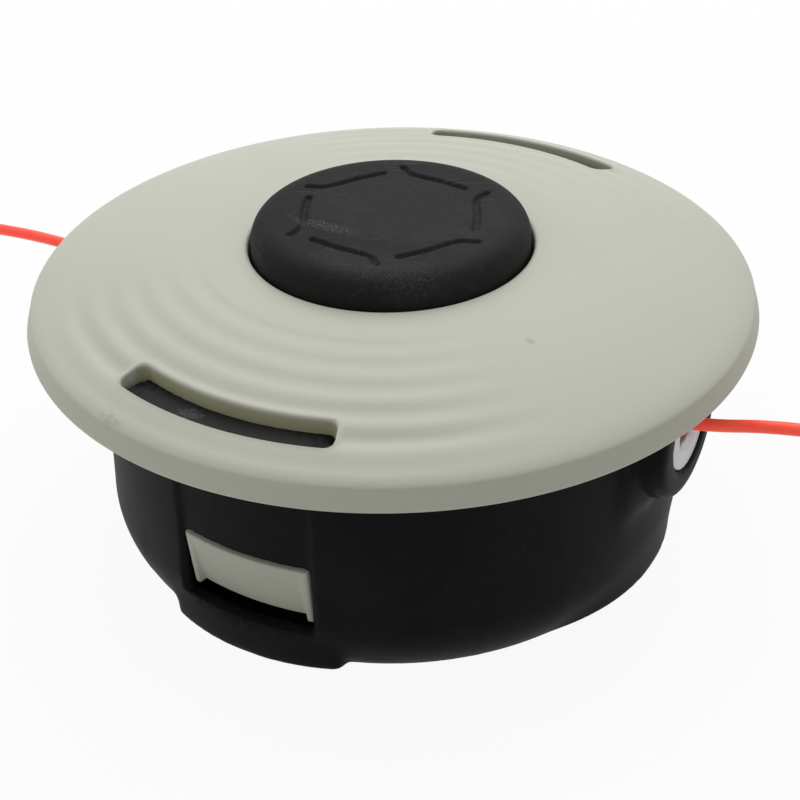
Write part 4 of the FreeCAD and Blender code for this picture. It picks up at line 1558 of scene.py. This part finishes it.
@dataclass
class DriveNut:
    """Hexagonal nut with a left-hand thread."""

    across_flats: float = 16.0
    low_z: float = 1.0
    high_z: float = 24.0
    major: float = 6.0
    minor: float = 5.2
    pitch: float = 1.5
    chamfer: float = 0.6
    face_inset: float = 0.2
    ridge: float = 0.55
    ridge_sides: int = 6
    ridge_steps: int = 40
    lead: float = 0.8
    columns: int = 96

    def hex_radius(self, k: int) -> float:
        """Radius of the hexagon at a column."""
        step = (2.0 * math.pi * k / self.columns) % (math.pi / 3.0)
        return self.across_flats / 2.0 / math.cos(step - math.pi / 6.0)

    def blank(self) -> bmesh.types.BMesh:
        """Nut without its thread ridge.

        Returns:
            The mesh.
        """
        c, face = self.chamfer, self.across_flats / 2 - self.face_inset
        levels = ((self.major, self.low_z, False), (face, self.low_z, False),
                  (0.0, self.low_z + c, True), (0.0, self.high_z - c, True),
                  (face, self.high_z, False), (self.major, self.high_z, False))
        bm, rings = revolve([(r, z) for r, z, _ in levels], self.columns)
        for ring, (r, _, hexed) in zip(rings, levels):
            for k, vert in enumerate(ring):
                a = 2.0 * math.pi * k / self.columns
                reach = self.hex_radius(k) if hexed else r
                vert.co.x, vert.co.y = reach * math.cos(a) * MM, reach * math.sin(a) * MM
        close_up(bm)
        return bm

    def build(self, wardrobe: Wardrobe) -> None:
        """Build the nut with its ridge and put it in its node's place.

        Args:
            wardrobe: Materials by slot.
        """
        growth = Growth("thread_ridge")
        pitch = growth.size("Pitch", self.pitch * MM)
        radius = growth.size("Radius", (self.minor + self.ridge) * MM)
        ridge = growth.size("Ridge", self.ridge * MM)
        low = growth.size("Low", (self.low_z + self.lead) * MM)
        turns = (self.high_z - self.low_z - 2.0 * self.lead) / self.pitch

        def place(share: Sock) -> Sock:
            """Point of the left-hand helix."""
            angle = share * (-2.0 * math.pi * turns)
            return growth.vector(angle.cos() * radius, angle.sin() * radius, low + share * turns * pitch)

        tube = growth.tube(growth.coil(int(turns * self.ridge_steps), place), ridge, self.ridge_sides)
        obj = mesh_object("threaded_nut", self.blank())
        growth.bake(obj, growth.joined(growth.geometry(), tube), wardrobe.materials[Slot.ZINC])
        soften(obj.data)
        settle(obj, Body.HOUSING, Slot.ZINC, "drive_nut")


@dataclass
class BumpSpring:
    """Compression spring with close end turns."""

    coil: float = 16.9
    wire: float = 2.0
    low_z: float = 6.7
    high_z: float = 39.75
    turns: int = 6
    close: float = 1.1
    press: float = 5.5
    steps: int = 48
    sides: int = 10

    def build(self, wardrobe: Wardrobe) -> None:
        """Build the spring and put it in its node's place.

        Args:
            wardrobe: Materials by slot.
        """
        growth = Growth("spring_coil")
        radius = growth.size("Coil Radius", self.coil * MM)
        wire = growth.size("Wire Radius", self.wire / 2 * MM)
        low = growth.size("Low", self.low_z * MM)
        high = growth.size("High", self.high_z * MM)
        free = growth.size("Free Turns", float(self.turns))
        dead_pitch = self.wire * self.close * MM

        def place(share: Sock) -> Sock:
            """Point of the wire's middle.

            Args:
                share: Share of the wire's length.

            Returns:
                The point.
            """
            turn = share * (free + 2.0)
            open_share = ((turn - 1.0) / free).at_least(0.0).at_most(1.0)
            dead = turn.at_most(1.0) + (turn - free - 1.0).at_least(0.0)
            height = low + dead * dead_pitch + open_share * (high - low - 2.0 * dead_pitch)
            angle = turn * (2.0 * math.pi)
            return growth.vector(angle.cos() * radius, angle.sin() * radius, height)

        tube = growth.tube(growth.coil((self.turns + 2) * self.steps, place), wire, self.sides)
        obj = new_object("spring_wire", bpy.data.meshes.new("spring_wire"))
        growth.bake(obj, tube, wardrobe.materials[Slot.SPRING])
        soften(obj.data)
        settle(obj, Body.HOUSING, Slot.SPRING, "bump_spring")
        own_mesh(obj)


@dataclass
class Winding:
    """Line wound in one chamber of the spool."""

    name: str
    node: str
    low_z: float
    inner: float = 23.5
    outer: float = 38.2
    height: float = 13.25
    line: float = 2.4
    layers: int = 3
    nest: float = 0.92
    gap: float = 0.02
    steps: int = 60
    sides: int = 8
    columns: int = 96

    def layer_radius(self, layer: int) -> float:
        """Radius of a layer's middle line, counted from the outside."""
        return self.outer - self.line * (0.5 + self.nest * layer)

    def build(self, wardrobe: Wardrobe) -> None:
        """Wind the outer layers over a core that fills the chamber.

        Args:
            wardrobe: Materials by slot.
        """
        growth = Growth(self.name)
        radius = growth.size("Line Radius", self.line / 2 * MM)
        low = growth.size("Low", (self.low_z + self.line / 2 + self.gap) * MM)
        rise = growth.size("Rise", (self.height - self.line - 2.0 * self.gap) * MM)
        turns = int(self.height / self.line) - 1
        tubes = [growth.geometry()]
        for layer in range(self.layers):
            reach = growth.size(f"Layer {layer + 1}", self.layer_radius(layer) * MM)
            side = 1.0 if layer % 2 == 0 else -1.0

            def place(share: Sock, reach: Sock = reach, side: float = side) -> Sock:
                """Point of one layer's helix."""
                angle = share * (2.0 * math.pi * turns * side)
                return growth.vector(angle.cos() * reach, angle.sin() * reach, low + share * rise)

            tubes.append(growth.tube(growth.coil(turns * self.steps, place), radius, self.sides))
        core_out = self.layer_radius(self.layers - 1)
        core = Profile(self.inner, self.low_z).line(core_out, self.low_z)
        core.line(core_out, self.low_z + self.height).line(self.inner, self.low_z + self.height)
        bm, _ = revolve(core.points, self.columns)
        close_up(bm)
        obj = mesh_object(self.name, bm)
        growth.bake(obj, growth.joined(*tubes), wardrobe.materials[Slot.LINE])
        soften(obj.data)
        settle(obj, Body.SPOOL, Slot.LINE, self.node)


@dataclass
class LineTail:
    """Free end of one cutting line, from its winding through the eyelet and out."""

    name: str
    node: str
    route: tuple[Triple, ...]
    exit: Triple
    length: float
    diameter: float = 2.4
    sides: int = 5
    steps: int = 24

    def build(self, wardrobe: Wardrobe) -> None:
        """Args:
            wardrobe: Materials by slot.
        """
        data = bpy.data.curves.new(self.name, "CURVE")
        data.dimensions = "3D"
        data.bevel_depth = self.diameter / 2 * MM
        data.bevel_resolution = self.sides
        data.use_fill_caps = True
        data.resolution_u = self.steps
        spline = data.splines.new("NURBS")
        spline.points.add(len(self.route) - 1)
        for point, (x, y, z) in zip(spline.points, self.route):
            point.co = (x * MM, y * MM, z * MM, 1.0)
        spline.order_u = 3
        spline.use_endpoint_u = True
        obj = new_object(self.name, data)
        wardrobe.dress(obj, Slot.LINE)
        settle(obj, Body.HOUSING, Slot.LINE, self.node)
        tuple(c * MM for c in self.exit)


@dataclass
class Studio:
    """Pale floor, soft overhead light, white surroundings and the camera."""

    camera_place: Triple = (143.63, -248.78, 211.41)
    camera_forward: Triple = (-0.4228, 0.7322, -0.5339)
    camera_up: Triple = (-0.2447, 0.4751, 0.8452)
    sensor: float = 36.0
    lens: float = 76.5
    shift: Point = (0.0072, -0.03825)
    aim_z: float = 40.0
    key_place: Triple = (-150.0, 420.0, 820.0)
    key_size: float = 900.0
    key_watts: float = 6.3
    fill_place: Triple = (-700.0, -520.0, 300.0)
    fill_size: float = 500.0
    fill_watts: float = 0.85
    ambient: float = 0.38
    floor_glow: float = 0.93
    floor_half: float = 6000.0

    def build_camera(self) -> None:
        """Place the camera at the photograph's viewpoint."""
        data = bpy.data.cameras.new("studio_camera")
        data.sensor_width = self.sensor
        data.lens = self.lens
        data.shift_x, data.shift_y = self.shift
        data.clip_start = 0.01
        obj = new_object("studio_camera", data)
        back = -Vector(self.camera_forward).normalized()
        right = Vector(self.camera_up).cross(back).normalized()
        up = back.cross(right)
        obj.matrix_world = Matrix.Translation(Vector(self.camera_place) * MM) @ \
            Matrix((right, up, back)).transposed().to_4x4()
        bpy.context.scene.camera = obj

    def lamp(self, name: str, place: Triple, size: float, watts: float, mirrored: bool) -> None:
        """Hang a square lamp that looks at the object.

        Args:
            name: Name of the lamp.
            place: Its middle in millimetres.
            size: Side of the square in millimetres.
            watts: Its power.
            mirrored: Whether glossy surfaces reflect it.
        """
        data = bpy.data.lights.new(name, "AREA")
        data.shape = "SQUARE"
        data.size = size * MM
        data.energy = watts
        obj = new_object(name, data)
        obj.location = Vector(place) * MM
        aim = Vector((0.0, 0.0, self.aim_z * MM)) - obj.location
        obj.rotation_euler = aim.to_track_quat("-Z", "Y").to_euler()
        obj.visible_camera = False
        obj.visible_glossy = mirrored

    def seen_directly(self, graph: Graph) -> Sock:
        """1 where the camera sees a thing itself, in a mirror or through glass.

        Args:
            graph: Node tree that needs it.

        Returns:
            The value.
        """
        camera = graph.node("ShaderNodeLightPath", {}, {}, "Is Camera Ray")
        outputs = camera.socket.node.outputs
        glossy = Sock(graph, outputs["Is Glossy Ray"])
        through = Sock(graph, outputs["Is Transmission Ray"])
        return camera.at_least(glossy).at_least(through)

    def build_world(self) -> None:
        """Light softly from all round, with a white background."""
        world = bpy.data.worlds.new("studio_world")
        world.use_nodes = True
        world.node_tree.nodes.clear()
        graph = Graph(world.node_tree)
        seen = self.seen_directly(graph)
        level = self.ambient + seen * (1.0 - self.ambient)
        light = graph.node("ShaderNodeBackground", {}, {"Color": (1.0, 1.0, 1.0, 1.0), "Strength": level})
        graph.node("ShaderNodeOutputWorld", {}, {"Surface": light})
        bpy.context.scene.world = world

    def build_floor(self) -> None:
        """Lay a pale floor that keeps the object's shadow."""
        half = self.floor_half * MM
        bm = bmesh.new()
        corners = [bm.verts.new((x * half, y * half, 0.0)) for x, y in ((-1, -1), (1, -1), (1, 1), (-1, 1))]
        bm.faces.new(corners)
        floor = mesh_object("studio_floor", bm)
        shade = Shade("pale_floor")
        seen = self.seen_directly(shade)
        pale = shade.mix(linear(243, 243, 243), linear(247, 247, 247), shade.noise(3.0))
        tone = shade.mix(linear(226, 226, 222), pale, seen)
        matte = shade.node("ShaderNodeBsdfDiffuse", {}, {"Color": tone})
        glow = shade.node("ShaderNodeEmission", {}, {"Color": (1.0, 1.0, 1.0, 1.0), "Strength": 1.0})
        floor.data.materials.append(shade.close(
            shade.node("ShaderNodeMixShader", {}, {0: seen * self.floor_glow, 1: matte, 2: glow})))

    def build(self) -> None:
        """Set up the whole studio."""
        self.build_camera()
        self.lamp("overhead_softbox", self.key_place, self.key_size, self.key_watts, True)
        self.lamp("side_softbox", self.fill_place, self.fill_size, self.fill_watts, False)
        self.build_world()
        self.build_floor()
        bpy.context.scene.view_settings.view_transform = "Standard"


TAILS = (
    LineTail("cutting_line_right", "line_right",
             ((36.3, 16.9, 36.6), (43.0, 0.9, 34.8), (60.8, 0.0, 35.4), (82.0, 0.3, 41.7),
              (102.5, 1.5, 43.0)),
             exit=(58.0, 0.0, 35.3), length=74.5),
    LineTail("cutting_line_left", "line_left",
             ((-36.3, -16.9, 30.2), (-43.0, -0.9, 33.4), (-60.8, 0.0, 35.2), (-82.0, -0.3, 40.1),
              (-102.5, -1.0, 38.2)),
             exit=(-58.0, 0.0, 35.2), length=74.5),
)


def main() -> None:
    """Build the studio, dress the frame and add every piece."""
    logging.basicConfig(level=logging.INFO, format="%(name)s: %(message)s")
    Studio().build()
    wardrobe = Wardrobe()
    for tail in TAILS:
        tail.build(wardrobe)
    Cover().build(wardrobe)
    BumpButton().build(wardrobe)
    Housing().build(wardrobe)
    Latch(Body.LATCH_FRONT, FRONT).build(wardrobe)
    Latch(Body.LATCH_BACK, BACK).build(wardrobe)
    DriveNut().build(wardrobe)
    BumpSpring().build(wardrobe)
    Winding("wound_line_upper", "winding_upper", low_z=32.5).build(wardrobe)
    Winding("wound_line_lower", "winding_lower", low_z=16.75).build(wardrobe)
    wardrobe.dress_node("spool", Slot.SPOOL)
    for node in ("seat_washer", "thrust_washer"):
        wardrobe.dress_node(node, Slot.ZINC)


if __name__ == "__main__":
    main()
